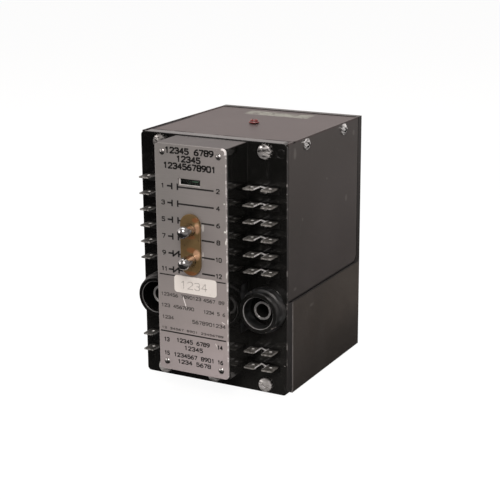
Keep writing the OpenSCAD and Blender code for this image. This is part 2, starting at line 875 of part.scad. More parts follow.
module frame_screws() {
    color("silver") from_face() for_posts() difference() {
        union() {
            bar_y(0, 0, 1.3, yoke_front - frame_screw_grip, yoke_rear + 0.5, coarse);
            bar_y(0, 0, 2.8, yoke_rear, yoke_rear + 1.8, coarse);
        }
        block([-3.5, yoke_rear + 1, -0.4], [3.5, yoke_rear + 3, 0.4]);
    }
}

module yoke() {
    color([0.55, 0.56, 0.58]) from_face() difference() {
        union() {
            slab(yoke_front, yoke_rear) translate([0, pivot_z])
                rounded(2 * yoke_half_width, 2 * yoke_half_height, 2);
            block([-leg_half_width, magnet_front + magnet_length, pivot_z - leg_half_height],
                [leg_half_width, yoke_front + 1, pivot_z + leg_half_height]);
        }
        for_posts() bar_y(0, 0, 1.6, yoke_front - 1, yoke_rear + 1, coarse);
        for (z = [-1, 1])
            bar_y(0, pivot_z + z * coil_offset, core_neck + hole_clearance,
                yoke_front - 1, yoke_rear + 1, coarse);
        bar_x(bracket_rivet_depth, pivot_z, 1.5 + hole_clearance, -leg_span, leg_span, coarse);
    }
}

module latch_magnet() {
    color([0.3, 0.3, 0.32]) from_face()
        block([-rocker_width / 2, magnet_front, pivot_z - leg_half_height],
            [rocker_width / 2, magnet_front + magnet_length, pivot_z + leg_half_height]);
}

module core(z) {
    bar_y(0, z, core_radius, pole_depth, yoke_front);
    bar_y(0, z, core_neck, yoke_front - 1, yoke_rear + 0.8);
    bar_y(0, z, 3.8, yoke_rear, yoke_rear + 1);
}

module bobbin(z) {
    difference() {
        union() {
            bar_y(0, z, core_radius + 1.2, bobbin_front, yoke_front);
            bar_y(0, z, bobbin_radius, bobbin_front, bobbin_front + flange_thickness);
            bar_y(0, z, bobbin_radius, yoke_front - flange_thickness, yoke_front);
        }
        bar_y(0, z, core_radius + close, bobbin_front - 1, yoke_front + 1);
    }
}

module winding(z) {
    difference() {
        bar_y(0, z, bobbin_radius - 0.8, bobbin_front + flange_thickness, yoke_front - flange_thickness);
        bar_y(0, z, core_radius + 1.2 + hole_clearance, bobbin_front, yoke_front);
    }
}

module operate_core() {
    color([0.55, 0.56, 0.58]) from_face() core(pivot_z + coil_offset);
}

module reset_core() {
    color([0.55, 0.56, 0.58]) from_face() core(pivot_z - coil_offset);
}

module operate_bobbin() {
    color([0.85, 0.83, 0.75]) from_face() bobbin(pivot_z + coil_offset);
}

module reset_bobbin() {
    color([0.85, 0.83, 0.75]) from_face() bobbin(pivot_z - coil_offset);
}

module operate_winding() {
    color([0.6, 0.3, 0.12]) from_face() winding(pivot_z + coil_offset);
}

module reset_winding() {
    color([0.6, 0.3, 0.12]) from_face() winding(pivot_z - coil_offset);
}

// Rocker and its bracket

module pivot_bracket() {
    color([0.7, 0.55, 0.25]) from_face() difference() {
        for (x = [-leg_half_width - cheek, leg_half_width])
            translate([x, 0, 0]) {
                block([0, pivot_depth, pivot_z - leg_half_height],
                    [cheek, yoke_front, pivot_z + leg_half_height]);
                bar_x(pivot_depth, pivot_z, leg_half_height, 0, cheek);
            }
        bar_x(pivot_depth, pivot_z, pivot_pin_radius + running, -leg_span, leg_span);
        bar_x(bracket_rivet_depth, pivot_z, 1.5 + hole_clearance, -leg_span, leg_span, coarse);
    }
}

module bracket_rivet() {
    reach = leg_half_width + cheek;
    color("silver") from_face() {
        bar_x(bracket_rivet_depth, pivot_z, 1.5, -reach - 1, reach + 1, coarse);
        for (x = [-reach - 1, reach])
            bar_x(bracket_rivet_depth, pivot_z, bracket_rivet_head, x, x + 1, coarse);
    }
}

module rocker_pin() {
    reach = leg_half_width + cheek + 0.8;
    color("silver") from_face() bar_x(pivot_depth, pivot_z, pivot_pin_radius, -reach, reach);
}

module rocker() {
    half_w = rocker_width / 2;
    color([0.55, 0.56, 0.58]) from_face() translate([0, pivot_depth, pivot_z]) difference() {
        union() {
            block([-half_w, -rocker_half, -rocker_reach], [half_w, rocker_half, 0]);
            rotate([rock_angle, 0, 0]) {
                block([-half_w, -rocker_half, 0], [half_w, rocker_half, link_radius - 3]);
                block([-tongue_width / 2, -rocker_half, 0], [tongue_width / 2, rocker_half, tongue_reach]);
            }
            bar_x(0, 0, hub_radius, -half_w - 0.6, half_w + 0.6);
        }
        bar_x(0, 0, pivot_pin_radius + running, -half_w - 2, half_w + 2);
    }
}

// Contact carrier with its drive lug, its flag finger and six windows

module contact_carrier() {
    half_w = carrier_width / 2;
    color([0.75, 0.7, 0.6]) from_face() difference() {
        union() {
            block([-half_w, carrier_front, carrier_bottom], [half_w, carrier_rear, carrier_top]);
            block([-lug_half, carrier_rear - 1, link_z - lug_below],
                [lug_half, lug_rear, link_z + lug_above]);
            flag_finger();
        }
        for (row = [1:contact_rows])
            block([-half_w - 1, window_front, contact_z(row) - window_half],
                [half_w + 1, window_rear, contact_z(row) + window_half]);
        for (z = [rod_top_z, rod_bottom_z])
            bar_y(0, z, guide_rod + running, carrier_front - 1, carrier_rear + 1);
        bar_y(0, reset_z, pin_rod + 0.35, carrier_front - 1, carrier_rear + 1);
        block([-tongue_width / 2 - 0.4, tongue_depth - link_slot_half, link_z - lug_below - 1],
            [tongue_width / 2 + 0.4, tongue_depth + link_slot_half, link_z + lug_above + 1]);
    }
}

module flag_finger() {
    outer = tail_half + prong_gap + prong;
    block([-outer, -2.5, finger_z - finger_half], [outer, carrier_front + 1, finger_z + finger_half]);
    for (x = [-outer, tail_half + prong_gap])
        block([x, flag_pivot_depth - 2, finger_z - finger_half], [x + prong, -2, finger_z + finger_half]);
    bar_x(flag_pivot_depth, finger_z, drive_pin, -outer + 0.5, outer - 0.5, coarse);
}

// One bridge: a bar with two buttons. Open rows close rearward, closed rows close forward
module bridge(row) {
    opens = row <= open_rows;
    bar_front = opens ? window_rear - bridge_thickness : window_front;
    face = opens ? window_rear : window_front;
    z = contact_z(row);
    slab(bar_front, bar_front + bridge_thickness) translate([0, z])
        rounded(2 * bridge_half, bridge_height, 1.5);
    for (x = [-button_x, button_x])
        bar_y(x, z, button_radius - 0.2, opens ? face - 0.1 : face - button_height,
            opens ? face + button_height : face + 0.1, coarse);
}

module bridge_contacts() {
    color([0.75, 0.55, 0.3]) from_face() for (row = [1:contact_rows]) bridge(row);
}

module contact_springs() {
    color("silver") from_face() for (row = [1:contact_rows])
        if (row <= open_rows)
            coil_spring(0, contact_z(row), 1.6, 0.4, window_front, window_rear - bridge_thickness, 4, 10, 5);
        else
            coil_spring(0, contact_z(row), 1.6, 0.4, window_front + bridge_thickness, window_rear, 4, 10, 5);
}

// A fixed contact: a cranked strip from its stud to its button
module strip_outline(row) {
    half = strip_height / 2;
    low = row_z(row) - stud_drop;
    high = contact_z(row);
    outer = terminal_offset + 3;
    difference() {
        polygon([
            [outer, low - half], [outer, low + half], [terminal_offset - 6, low + half],
            [button_x + 5, high + half], [strip_end, high + half], [strip_end, high - half],
            [button_x + 4, high - half], [terminal_offset - 7, low - half]
        ]);
        translate([terminal_offset, low]) circle(r = stud_radius + hole_clearance, $fn = coarse);
    }
}

module fixed_contact(row, side) {
    opens = row <= open_rows;
    front = opens ? open_strip_front : closed_strip_front;
    rear = front + strip_thickness;
    mirror([side < 0 ? 1 : 0, 0, 0]) {
        slab(front, rear) strip_outline(row);
        bar_y(button_x, contact_z(row), button_radius, opens ? front - button_height : rear - 0.1,
            opens ? front + 0.1 : rear + button_height, coarse);
    }
}

module open_contacts() {
    color([0.75, 0.55, 0.3]) from_face() for (side = [-1, 1])
        for (row = [1:open_rows]) fixed_contact(row, side);
}

module closed_contacts() {
    color([0.75, 0.55, 0.3]) from_face() for (side = [-1, 1])
        for (row = [open_rows + 1:contact_rows]) fixed_contact(row, side);
}

// Flag

module flag() {
    arm = 1.2;
    color([0.1, 0.35, 0.15]) from_face() translate([0, flag_pivot_depth, slot_z]) difference() {
        union() {
            block([-flag_half_width, flag_front - flag_pivot_depth, -flag_half_height],
                [flag_half_width, flag_front - flag_pivot_depth + flag_sheet, flag_half_height]);
            for (x = [-flag_half_width, flag_half_width - arm])
                block([x, flag_front - flag_pivot_depth, -flag_hub + 0.4], [x + arm, 0, flag_hub - 0.4]);
            bar_x(0, 0, flag_hub, -flag_half_width, flag_half_width);
            block([-tail_half, -3, -flag_drive - 3], [tail_half, 3, 0]);
        }
        bar_x(0, 0, flag_pin_radius + running, -flag_half_width - 1, flag_half_width + 1);
        block([-tail_half - 1, -drive_pin - 0.15, -flag_drive - 4],
            [tail_half + 1, drive_pin + 0.15, -flag_drive + drive_pin + 0.3]);
    }
}

module flag_pin() {
    reach = lug_x + 1.6;
    color("silver") from_face() bar_x(flag_pivot_depth, slot_z, flag_pin_radius, -reach, reach, coarse);
}

terminal_base();
nameplate();
nameplate_rivets();
flag_window();
pin_guide_plate();
operate_pin();
reset_pin();
operate_pin_spring();
reset_pin_spring();
id_tag();
for (row = [1:contact_rows + 2]) {
    color([0.5, 0.48, 0.42]) from_face() terminal(-1, row);
    color([0.5, 0.48, 0.42]) from_face() terminal(1, row);
}
terminal_studs();
left_sleeve();
right_sleeve();
face_screws();
face_washers();
case_body();  // case
top_panel();
left_side_panel();
right_side_panel();
panel_screws();
top_seal();
mechanism_plate();
guide_rods();
frame_posts();
frame_screws();
yoke();
latch_magnet();
operate_core();
operate_bobbin();
operate_winding();
reset_core();
reset_bobbin();
reset_winding();
pivot_bracket();
bracket_rivet();
rocker_pin();
rocker();
contact_carrier();
bridge_contacts();
contact_springs();
open_contacts();
closed_contacts();
flag();
flag_pin();
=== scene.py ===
import json
import math

import bmesh
import bpy
from mathutils import Matrix, Vector

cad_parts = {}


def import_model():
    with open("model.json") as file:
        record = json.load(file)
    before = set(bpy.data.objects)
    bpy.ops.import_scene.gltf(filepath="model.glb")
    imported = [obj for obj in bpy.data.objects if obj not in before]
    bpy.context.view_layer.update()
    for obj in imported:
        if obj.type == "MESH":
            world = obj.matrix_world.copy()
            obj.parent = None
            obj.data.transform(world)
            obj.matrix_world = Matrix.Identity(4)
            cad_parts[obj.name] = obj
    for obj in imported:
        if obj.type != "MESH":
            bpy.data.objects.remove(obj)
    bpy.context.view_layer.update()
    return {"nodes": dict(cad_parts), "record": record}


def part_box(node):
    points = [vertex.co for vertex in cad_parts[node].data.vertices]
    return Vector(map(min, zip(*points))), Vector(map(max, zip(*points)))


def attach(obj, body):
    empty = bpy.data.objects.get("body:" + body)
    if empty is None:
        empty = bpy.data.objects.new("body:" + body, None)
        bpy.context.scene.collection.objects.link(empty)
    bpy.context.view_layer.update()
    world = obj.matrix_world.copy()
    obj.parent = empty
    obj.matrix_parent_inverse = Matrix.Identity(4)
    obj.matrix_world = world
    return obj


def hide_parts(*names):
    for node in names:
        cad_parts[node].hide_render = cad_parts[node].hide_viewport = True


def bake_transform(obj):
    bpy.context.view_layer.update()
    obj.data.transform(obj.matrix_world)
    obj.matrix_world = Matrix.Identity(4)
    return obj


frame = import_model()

# Metres, in the frame of the model: Z up, the face looks along -Y, the origin under the case.
MM = 0.001
HALF_DEPTH = 51.5


def at(x, y, z):
    """A place in millimetres, with Y counted rearward from the front of the face plate."""
    return Vector((x * MM, (y - HALF_DEPTH) * MM, z * MM))


# Materials

# Places in millimetres, with Y as in at()
# The bosses, the seam between the side panels and the lower shell, the top panel, and the radius of the
# nameplate's corners
BOSS = (34.4, 52.1)
BOSS_RECESS = 9.5
SEAM = 57.0
TOP = 150.0
CORNER = 2.4
# The terminals: their middle, half width and reach, the sheet with its bend and foot, the slot between the
# two tabs with its slanted end, and the dimples
TAB_MIDDLE = 34.4
TAB_HALF = 9.1
TAB_REACH = 11.0
SHEET = 0.8
BEND = 1.3
FOOT = 4.4
SLOT_HALF = 2.4
SLOT_SLANT = 0.615
DIMPLE = (5.75, -5.2)
# The screws of the side panels
PANEL_SCREWS = (24.0, 75.5)
PANEL_SCREW_Z = 146.0
# Wear: pale specks on the edges of the face (X, Z, radius), smudges on the right panel (Y, Z, half sizes),
# and scratches on the nameplate (two ends in X and Z, width, strength)
SPECKS = ((48.0, 56.6, 0.5), (43.4, 44.1, 0.7), (39.5, 41.1, 0.5), (23.7, 60.1, 0.45), (27.9, 62.9, 0.4),
          (46.6, 18.6, 0.8))
SMUDGES = ((9.5, 142.9, 1.6, 3.2), (19.6, 102.5, 0.9, 1.0), (80.7, 102.3, 1.6, 2.0), (90.9, 141.4, 1.5, 1.6),
           (10.0, 63.2, 1.6, 1.0), (52.4, 120.2, 1.0, 0.7))
SCRATCHES = (((-6.6, 61.0), (-4.0, 53.3), 0.28, 1.0), ((14.6, 35.4), (16.0, 33.1), 0.22, 0.8),
             ((18.9, 49.0), (21.4, 47.9), 0.22, 0.9))
# Pale marks on the nameplate: X, Z, half sizes and strength
PALE_MARKS = ((7.6, 103.2, 0.8, 2.2, 0.5), (7.4, 86.6, 0.5, 2.4, 0.45), (21.9, 102.4, 0.7, 0.6, 1.0),
              (22.4, 96.3, 0.5, 1.3, 0.9), (22.5, 77.0, 0.4, 1.6, 0.7), (21.6, 118.4, 0.5, 0.5, 0.8))


class Nodes:
    """Short calls for the nodes of a material or of the world."""

    def __init__(self, owner, output):
        owner.use_nodes = True
        self.t = owner.node_tree
        self.t.nodes.clear()
        self.surface = self.node(output).inputs["Surface"]

    def node(self, kind, **props):
        n = self.t.nodes.new("ShaderNode" + kind)
        for key, value in props.items():
            setattr(n, key, value)
        return n

    def put(self, socket, value):
        """Link a socket into another one, or set its number or colour."""
        if isinstance(value, bpy.types.NodeSocket):
            self.t.links.new(value, socket)
        elif isinstance(value, tuple):
            socket.default_value = (*value, 1.0)
        else:
            socket.default_value = value

    def math(self, op, a, b=0.0):
        n = self.node("Math", operation=op)
        self.put(n.inputs[0], a)
        self.put(n.inputs[1], b)
        return n.outputs[0]

    def product(self, *values):
        out = values[0]
        for v in values[1:]:
            out = self.math("MULTIPLY", out, v)
        return out

    def most(self, *values):
        out = values[0]
        for v in values[1:]:
            out = self.math("MAXIMUM", out, v)
        return out

    def rest(self, value):
        """What is missing from 1."""
        return self.math("SUBTRACT", 1.0, value)

    def distance(self, du, dv):
        """The length of a line that goes so far along two axes."""
        return self.math("SQRT", self.math("ADD", self.product(du, du), self.product(dv, dv)))

    def step(self, value, low, high, a=0.0, b=1.0):
        """Smooth rise from a to b while value goes from low to high."""
        n = self.node("MapRange", interpolation_type="SMOOTHSTEP")
        self.put(n.inputs["Value"], value)
        n.inputs["From Min"].default_value = low
        n.inputs["From Max"].default_value = high
        n.inputs["To Min"].default_value = a
        n.inputs["To Max"].default_value = b
        return n.outputs[0]

    def mix(self, fac, a, b):
        """From colour a to colour b."""
        n = self.node("Mix", data_type="RGBA")
        self.put(n.inputs[0], fac)
        self.put(n.inputs[6], a)
        self.put(n.inputs[7], b)
        return n.outputs[2]

    def blend(self, fac, a, b):
        """From number a to number b."""
        n = self.node("Mix", data_type="FLOAT")
        self.put(n.inputs[0], fac)
        self.put(n.inputs[2], a)
        self.put(n.inputs[3], b)
        return n.outputs[0]

    def choose(self, fac, a, b):
        """From shader a to shader b."""
        n = self.node("MixShader")
        for socket, value in zip(n.inputs, (fac, a, b)):
            self.put(socket, value)
        return n.outputs[0]

    def shader(self, kind, **values):
        """The output of a simple shader with these values."""
        n = self.node(kind)
        for key, value in values.items():
            self.put(n.inputs[key], value)
        return n.outputs[0]

    def split(self, vector):
        """The X, Y and Z of a vector."""
        n = self.node("SeparateXYZ")
        self.put(n.inputs[0], vector)
        return n.outputs


class Material(Nodes):
    """A Principled material, with masks that are laid out on the object itself."""

    def __init__(self, name, **values):
        self.m = bpy.data.materials.new(name)
        super().__init__(self.m, "OutputMaterial")
        self.bsdf = self.node("BsdfPrincipled")
        self.put(self.surface, self.bsdf.outputs["BSDF"])
        for key, value in values.items():
            self.bsdf.inputs[key].default_value = value
        self.coord = self.node("TexCoord").outputs["Object"]
        self.axes = None

    def xyz(self, letters="XYZ"):
        """The object's own coordinates, those that are named."""
        if not self.axes:
            self.axes = self.split(self.coord)
        return [self.axes["XYZ".index(letter)] for letter in letters]

    def scaled(self, sx, sy, sz, turn=(0, 0, 0)):
        """The coordinates turned and stretched, for a noise with a grain."""
        n = self.node("Mapping")
        self.put(n.inputs["Vector"], self.coord)
        n.inputs["Rotation"].default_value = turn
        n.inputs["Scale"].default_value = (sx, sy, sz)
        return n.outputs[0]

    def noise(self, scale, detail, rough, distortion=0.0, vector=None):
        n = self.node("TexNoise")
        self.put(n.inputs["Vector"], vector or self.coord)
        n.inputs["Scale"].default_value = scale
        n.inputs["Detail"].default_value = detail
        n.inputs["Roughness"].default_value = rough
        n.inputs["Distortion"].default_value = distortion
        return n.outputs[0]

    def cells(self, scale):
        n = self.node("TexVoronoi")
        self.put(n.inputs["Vector"], self.coord)
        n.inputs["Scale"].default_value = scale
        return n.outputs["Distance"]

    def spot(self, centre, size, soft, wobble, scale):
        """A patch round a place: an ellipsoid with a soft, uneven edge."""
        uneven = self.math("SUBTRACT", self.noise(scale, 4, 0.6), 0.5)
        total = self.product(uneven, wobble)
        for c, s, socket in zip(centre, size, self.xyz()):
            d = self.math("DIVIDE", self.math("SUBTRACT", socket, c), s)
            total = self.math("ADD", total, self.product(d, d))
        return self.step(total, 1.0 - soft, 1.0 + soft, 1.0, 0.0)

    def slab(self, axis, low, high, soft):
        """1 between two places along an axis, with soft edges."""
        v, = self.xyz(axis)
        return self.product(
            self.step(v, low - soft, low + soft), self.step(v, high - soft, high + soft, 1.0, 0.0))

    def layer(self, front, rear, soft):
        """1 between two depths that are given in millimetres."""
        return self.slab("Y", at(0, front, 0).y, at(0, rear, 0).y, soft)

    def deeper(self, start, end):
        """Rise from 0 to 1 between two depths in millimetres."""
        y, = self.xyz("Y")
        return self.step(y, at(0, start, 0).y, at(0, end, 0).y)

    def ring(self, cx, cz, radius, half):
        """1 near a circle round an axis along Y, in millimetres."""
        x, z = self.xyz("XZ")
        r = self.distance(self.math("SUBTRACT", x, cx * MM), self.math("SUBTRACT", z, cz * MM))
        off = self.math("ABSOLUTE", self.math("SUBTRACT", r, radius * MM))
        return self.step(off, half * 0.6 * MM, half * MM, 1.0, 0.0)

    def normal(self, radius):
        """The surface normal with its edges rounded."""
        n = self.node("Bevel", samples=6)
        n.inputs["Radius"].default_value = radius
        return n.outputs[0]

    def edges(self, radius, low, high):
        """1 along the edges of the solid, 0 on its flats."""
        d = self.node("VectorMath", operation="DOT_PRODUCT")
        self.put(d.inputs[0], self.normal(radius))
        self.put(d.inputs[1], self.node("NewGeometry").outputs["Normal"])
        return self.step(self.rest(d.outputs["Value"]), low, high)

    def bump(self, height, distance, strength, base=None):
        """The normal that a relief of this height gives, on top of another one if that is given."""
        n = self.node("Bump")
        n.inputs["Strength"].default_value = strength
        n.inputs["Distance"].default_value = distance
        self.put(n.inputs["Height"], height)
        if base:
            self.put(n.inputs["Normal"], base)
        return n.outputs[0]

    def set(self, key, value):
        self.put(self.bsdf.inputs[key], value)


def black_moulding():
    """Glossy black moulding, dusty, paler low down and most of all on the right, darker on the left as
    painted shade, with a few pale specks along its edges. Its sides and top are painted grey as their sheen,
    and painted highlights run down the side edges of the face and round the rims of the bosses.
    """
    m = Material("black_moulding", IOR=1.6)
    x, z = m.xyz("XZ")
    dust = m.step(m.noise(60, 5, 0.65), 0.45, 0.75)
    grime = m.step(m.noise(260, 4, 0.6), 0.5, 0.8)
    low = m.product(m.step(z, 0.075, 0.020), m.step(x, 0.010, 0.026, 0.35, 1.0))
    face = m.layer(-0.4, 0.9, 0.0004)
    scratch = m.step(m.noise(90, 3, 0.6, 1.5, m.scaled(6, 6, 0.9, (0.3, 0.5, 0.2))), 0.68, 0.72)
    side = m.most(m.step(x, 0.04812, 0.04818), m.step(x, -0.04812, -0.04818))
    # Painted highlight: a broken pale line down the side edges of the face, strongest high up.
    line = m.most(m.slab("X", 0.0478, 0.0483, 0.0001), m.slab("X", -0.0483, -0.0478, 0.0001))
    line = m.product(
        line, face, m.step(m.noise(260, 4, 0.7), 0.56, 0.66, 0.08, 1.0), m.step(z, 0.085, 0.125, 0.4, 1.0))
    # Painted sheen: the block's top is painted a paler grey, mottled by dust, where it mixes in below.
    top = m.product(m.step(z, 0.1488, 0.1492), m.deeper(-1, -2))
    colour = m.mix(m.product(dust, 0.4), (0.0050, 0.0051, 0.0046), (0.0095, 0.0092, 0.0084))
    # Painted shade: the face darkens towards its left.
    colour = m.mix(m.step(x, -0.020, -0.030), colour, (0.0018, 0.0017, 0.0017))
    colour = m.mix(m.product(low, 0.8), colour, (0.0165, 0.0165, 0.0155))
    colour = m.mix(m.product(grime, face, 0.35), colour, (0.022, 0.0215, 0.020))
    colour = m.mix(m.product(scratch, face, 0.22), colour, (0.09, 0.088, 0.08))
    # Painted sheen: the side faces are painted a paler grey, mottled by the grime noise.
    colour = m.mix(side, colour, m.mix(grime, (0.020, 0.0185, 0.0185), (0.036, 0.033, 0.033)))
    colour = m.mix(m.product(line, 0.8), colour, (0.42, 0.40, 0.39))
    colour = m.mix(top, colour, m.mix(dust, (0.036, 0.030, 0.030), (0.050, 0.044, 0.042)))
    marks = m.most(*[
        m.spot(at(px, -6, pz), (r * MM, 7 * MM, r * 0.6 * MM), 0.4, 1.0, 900) for px, pz, r in SPECKS])
    # The rims of the bosses carry a painted highlight, brightest below and on their left, broken up by noise
    rim_highlights = []
    for bx, strength in ((-BOSS[0], 0.5), (BOSS[0], 1.0)):
        slant = m.math(
            "ADD", m.product(m.math("SUBTRACT", x, bx * MM), 0.6),
            m.product(m.math("SUBTRACT", z, BOSS[1] * MM), 0.8))
        ring = m.ring(bx, BOSS[1], BOSS_RECESS, 0.34)
        rim_highlights.append(m.product(ring, m.step(slant, 0.001, 0.006, strength, 0.15)))
    rubbed = m.step(m.noise(70, 4, 0.6), 0.30, 0.55, 0.4, 1.0)
    rim_highlights = m.product(m.most(*rim_highlights), m.layer(-10.3, -9.3, 0.0002), rubbed)
    # Patches of grey on the shoulder of the right boss
    boss = m.product(
        m.layer(-9.7, -0.8, 0.0005), m.slab("Z", 0.038, 0.067, 0.001), m.step(x, 0.0, 0.01))
    patch = m.step(m.noise(230, 4, 0.65, 0.4), 0.46, 0.60)
    colour = m.mix(boss, colour, m.mix(patch, (0.0045, 0.0048, 0.0048), (0.028, 0.030, 0.031)))
    colour = m.mix(m.product(rim_highlights, 0.9), colour, (0.34, 0.34, 0.34))
    colour = m.mix(m.product(marks, 0.8), colour, (0.30, 0.28, 0.26))
    m.set("Base Color", colour)
    rough = m.blend(dust, 0.14, 0.26)
    # The right wall of the block is the smoothest, and mirrors the terminals
    wall = m.product(m.slab("X", 0.0225, 0.0235, 0.0001), m.deeper(-0.6, -1.0))
    rough = m.blend(wall, rough, 0.08)
    rough = m.blend(m.most(side, line), rough, 0.5)
    rough = m.blend(boss, rough, m.blend(patch, 0.45, 0.6))
    rough = m.blend(top, rough, 0.46)
    m.set("Roughness", m.blend(m.most(marks, rim_highlights), rough, 0.5))
    m.set("Normal", m.bump(m.noise(22, 2, 0.5), 0.0003, 0.2, m.normal(0.0004)))
    return m.m


def case_moulding():
    """The lower shell: smooth, dull with handling, with long rub marks, painted light that makes it paler
    towards the rear, and a painted highlight along its front edge.
    """
    m = Material("case_moulding", IOR=1.5)
    z, = m.xyz("Z")
    rub = m.step(m.noise(16, 5, 0.6, 0.6), 0.42, 0.72)
    smear = m.step(m.noise(30, 4, 0.6, 1.0, m.scaled(1, 1.2, 0.35)), 0.5, 0.75)
    fine = m.step(m.noise(700, 3, 0.7), 0.64, 0.72)
    pale_edges = m.product(m.edges(0.0005, 0.03, 0.25), m.step(m.noise(220, 4, 0.7), 0.4, 0.62))
    # A painted highlight along the front edge, broken by noise
    front = m.product(m.layer(6.4, 7.7, 0.0002), m.step(m.noise(110, 4, 0.7), 0.30, 0.55, 0.35, 1.0))
    seam = m.step(z, (SEAM - 1.2) * MM, (SEAM - 1.0) * MM)
    # Painted light: paler towards the rear, above the bottom
    rear = m.product(m.deeper(35, 75), m.step(z, 0.012, 0.035))
    mark = m.spot(at(48.3, 32.9, 47.2), (2 * MM, 3.0 * MM, 0.9 * MM), 0.5, 1.2, 500)
    low = m.step(z, 0.050, 0.0)
    colour = m.mix(m.product(rub, 0.5), (0.052, 0.044, 0.037), (0.066, 0.057, 0.050))
    colour = m.mix(m.product(low, 0.5), colour, (0.030, 0.028, 0.027))
    colour = m.mix(m.product(rear, 0.8), colour, m.mix(rub, (0.074, 0.064, 0.055), (0.086, 0.075, 0.064)))
    colour = m.mix(m.product(smear, 0.25), colour, (0.062, 0.057, 0.052))
    colour = m.mix(m.product(fine, 0.25), colour, (0.11, 0.10, 0.095))
    colour = m.mix(m.product(mark, 0.4), colour, (0.14, 0.13, 0.12))
    colour = m.mix(m.product(pale_edges, 0.5), colour, (0.12, 0.11, 0.105))
    colour = m.mix(m.product(front, 0.6), colour, (0.30, 0.285, 0.28))
    colour = m.mix(m.product(seam, 0.9), colour, (0.006, 0.005, 0.005))
    m.set("Base Color", colour)
    m.set("Roughness", m.blend(rub, 0.32, 0.46))
    m.set("Normal", m.bump(m.noise(40, 3, 0.5), 0.0004, 0.2, m.normal(0.0004)))
    return m.m


def black_sheet():
    """Semi-gloss enamel on sheet steel, with smudges, hairlines and the trace of a lost sticker."""
    m = Material("black_sheet", IOR=1.5)
    x, z = m.xyz("XZ")
    cloud = m.step(m.noise(14, 5, 0.6, 0.4), 0.38, 0.7)
    peel = m.noise(1400, 2, 0.5)
    hair = m.step(m.noise(60, 3, 0.6, 0.8, m.scaled(0.4, 8, 1.6, (0.5, 0.0, 0.3))), 0.68, 0.71)
    top = m.slab("Z", 0.1490, 0.1505, 0.0002)
    side = m.most(m.step(x, 0.0479, 0.0482), m.step(x, -0.0479, -0.0482))
    smudge = m.most(*[
        m.spot(at(48.3, py, pz), (2 * MM, ry * MM, rz * MM), 0.5, 1.4, 420) for py, pz, ry, rz in SMUDGES])
    patch = m.product(m.slab("X", -0.0225, 0.0217, 0.0010), m.layer(79.4, 91.6, 0.0010), top)
    patch = m.product(patch, m.step(m.noise(140, 5, 0.7, 0.5), 0.32, 0.6))
    pale_edges = m.product(m.edges(0.0004, 0.03, 0.3), m.step(m.noise(260, 4, 0.7), 0.35, 0.6))
    grit = m.product(m.step(m.cells(420), 0.12, 0.05), m.step(m.noise(25, 3, 0.6), 0.5, 0.7))
    base = m.mix(m.product(cloud, 0.6), (0.047, 0.040, 0.037), (0.058, 0.050, 0.046))
    # Painted light: the sides are paler lower down, and palest low down towards the rear
    paler = m.mix(cloud, (0.050, 0.045, 0.043), (0.062, 0.055, 0.053))
    base = m.mix(m.product(side, m.step(z, 0.125, 0.060), 0.8), base, paler)
    palest = m.mix(cloud, (0.062, 0.054, 0.052), (0.076, 0.066, 0.064))
    base = m.mix(m.product(side, m.deeper(22, 62), m.step(z, 0.140, 0.110), 0.8), base, palest)
    # Dull dark smears along the front of the top, and a line of painted shadow down its left side, where the
    # top meets the side panel
    smear = m.product(m.layer(7.2, 10.0, 0.0014), m.step(m.noise(55, 4, 0.6, 0.5), 0.40, 0.56))
    gap = m.product(m.step(x, -0.0448, -0.0456), m.deeper(62, 50))
    smear = m.product(top, m.most(smear, gap))
    reddish = m.mix(cloud, (0.047, 0.031, 0.031), (0.058, 0.041, 0.040))
    base = m.mix(m.product(top, 0.9), base, reddish)
    base = m.mix(m.product(smear, 0.9), base, (0.006, 0.004, 0.006))
    base = m.mix(m.product(hair, 0.25), base, (0.12, 0.11, 0.105))
    base = m.mix(m.product(smudge, side, 0.45), base, (0.17, 0.16, 0.15))
    base = m.mix(m.product(patch, 0.85), base, (0.30, 0.31, 0.27))
    base = m.mix(m.product(grit, 0.3), base, (0.22, 0.21, 0.2))
    base = m.mix(m.product(pale_edges, 0.7), base, (0.26, 0.24, 0.23))
    seam = m.product(side, m.step(z, (SEAM + 1.35) * MM, (SEAM + 1.1) * MM))
    base = m.mix(m.product(seam, 0.9), base, (0.006, 0.005, 0.005))
    m.set("Base Color", base)
    rough = m.blend(cloud, 0.3, 0.40)
    rough = m.blend(top, rough, 0.42)
    rough = m.blend(smear, rough, 0.85)
    rough = m.blend(patch, rough, 0.6)
    m.set("Roughness", m.blend(pale_edges, rough, 0.45))
    relief = m.math("ADD", m.product(peel, 0.04), m.noise(18, 2, 0.5))
    m.set("Normal", m.bump(relief, 0.0005, 0.2, m.normal(0.0003)))
    return m.m


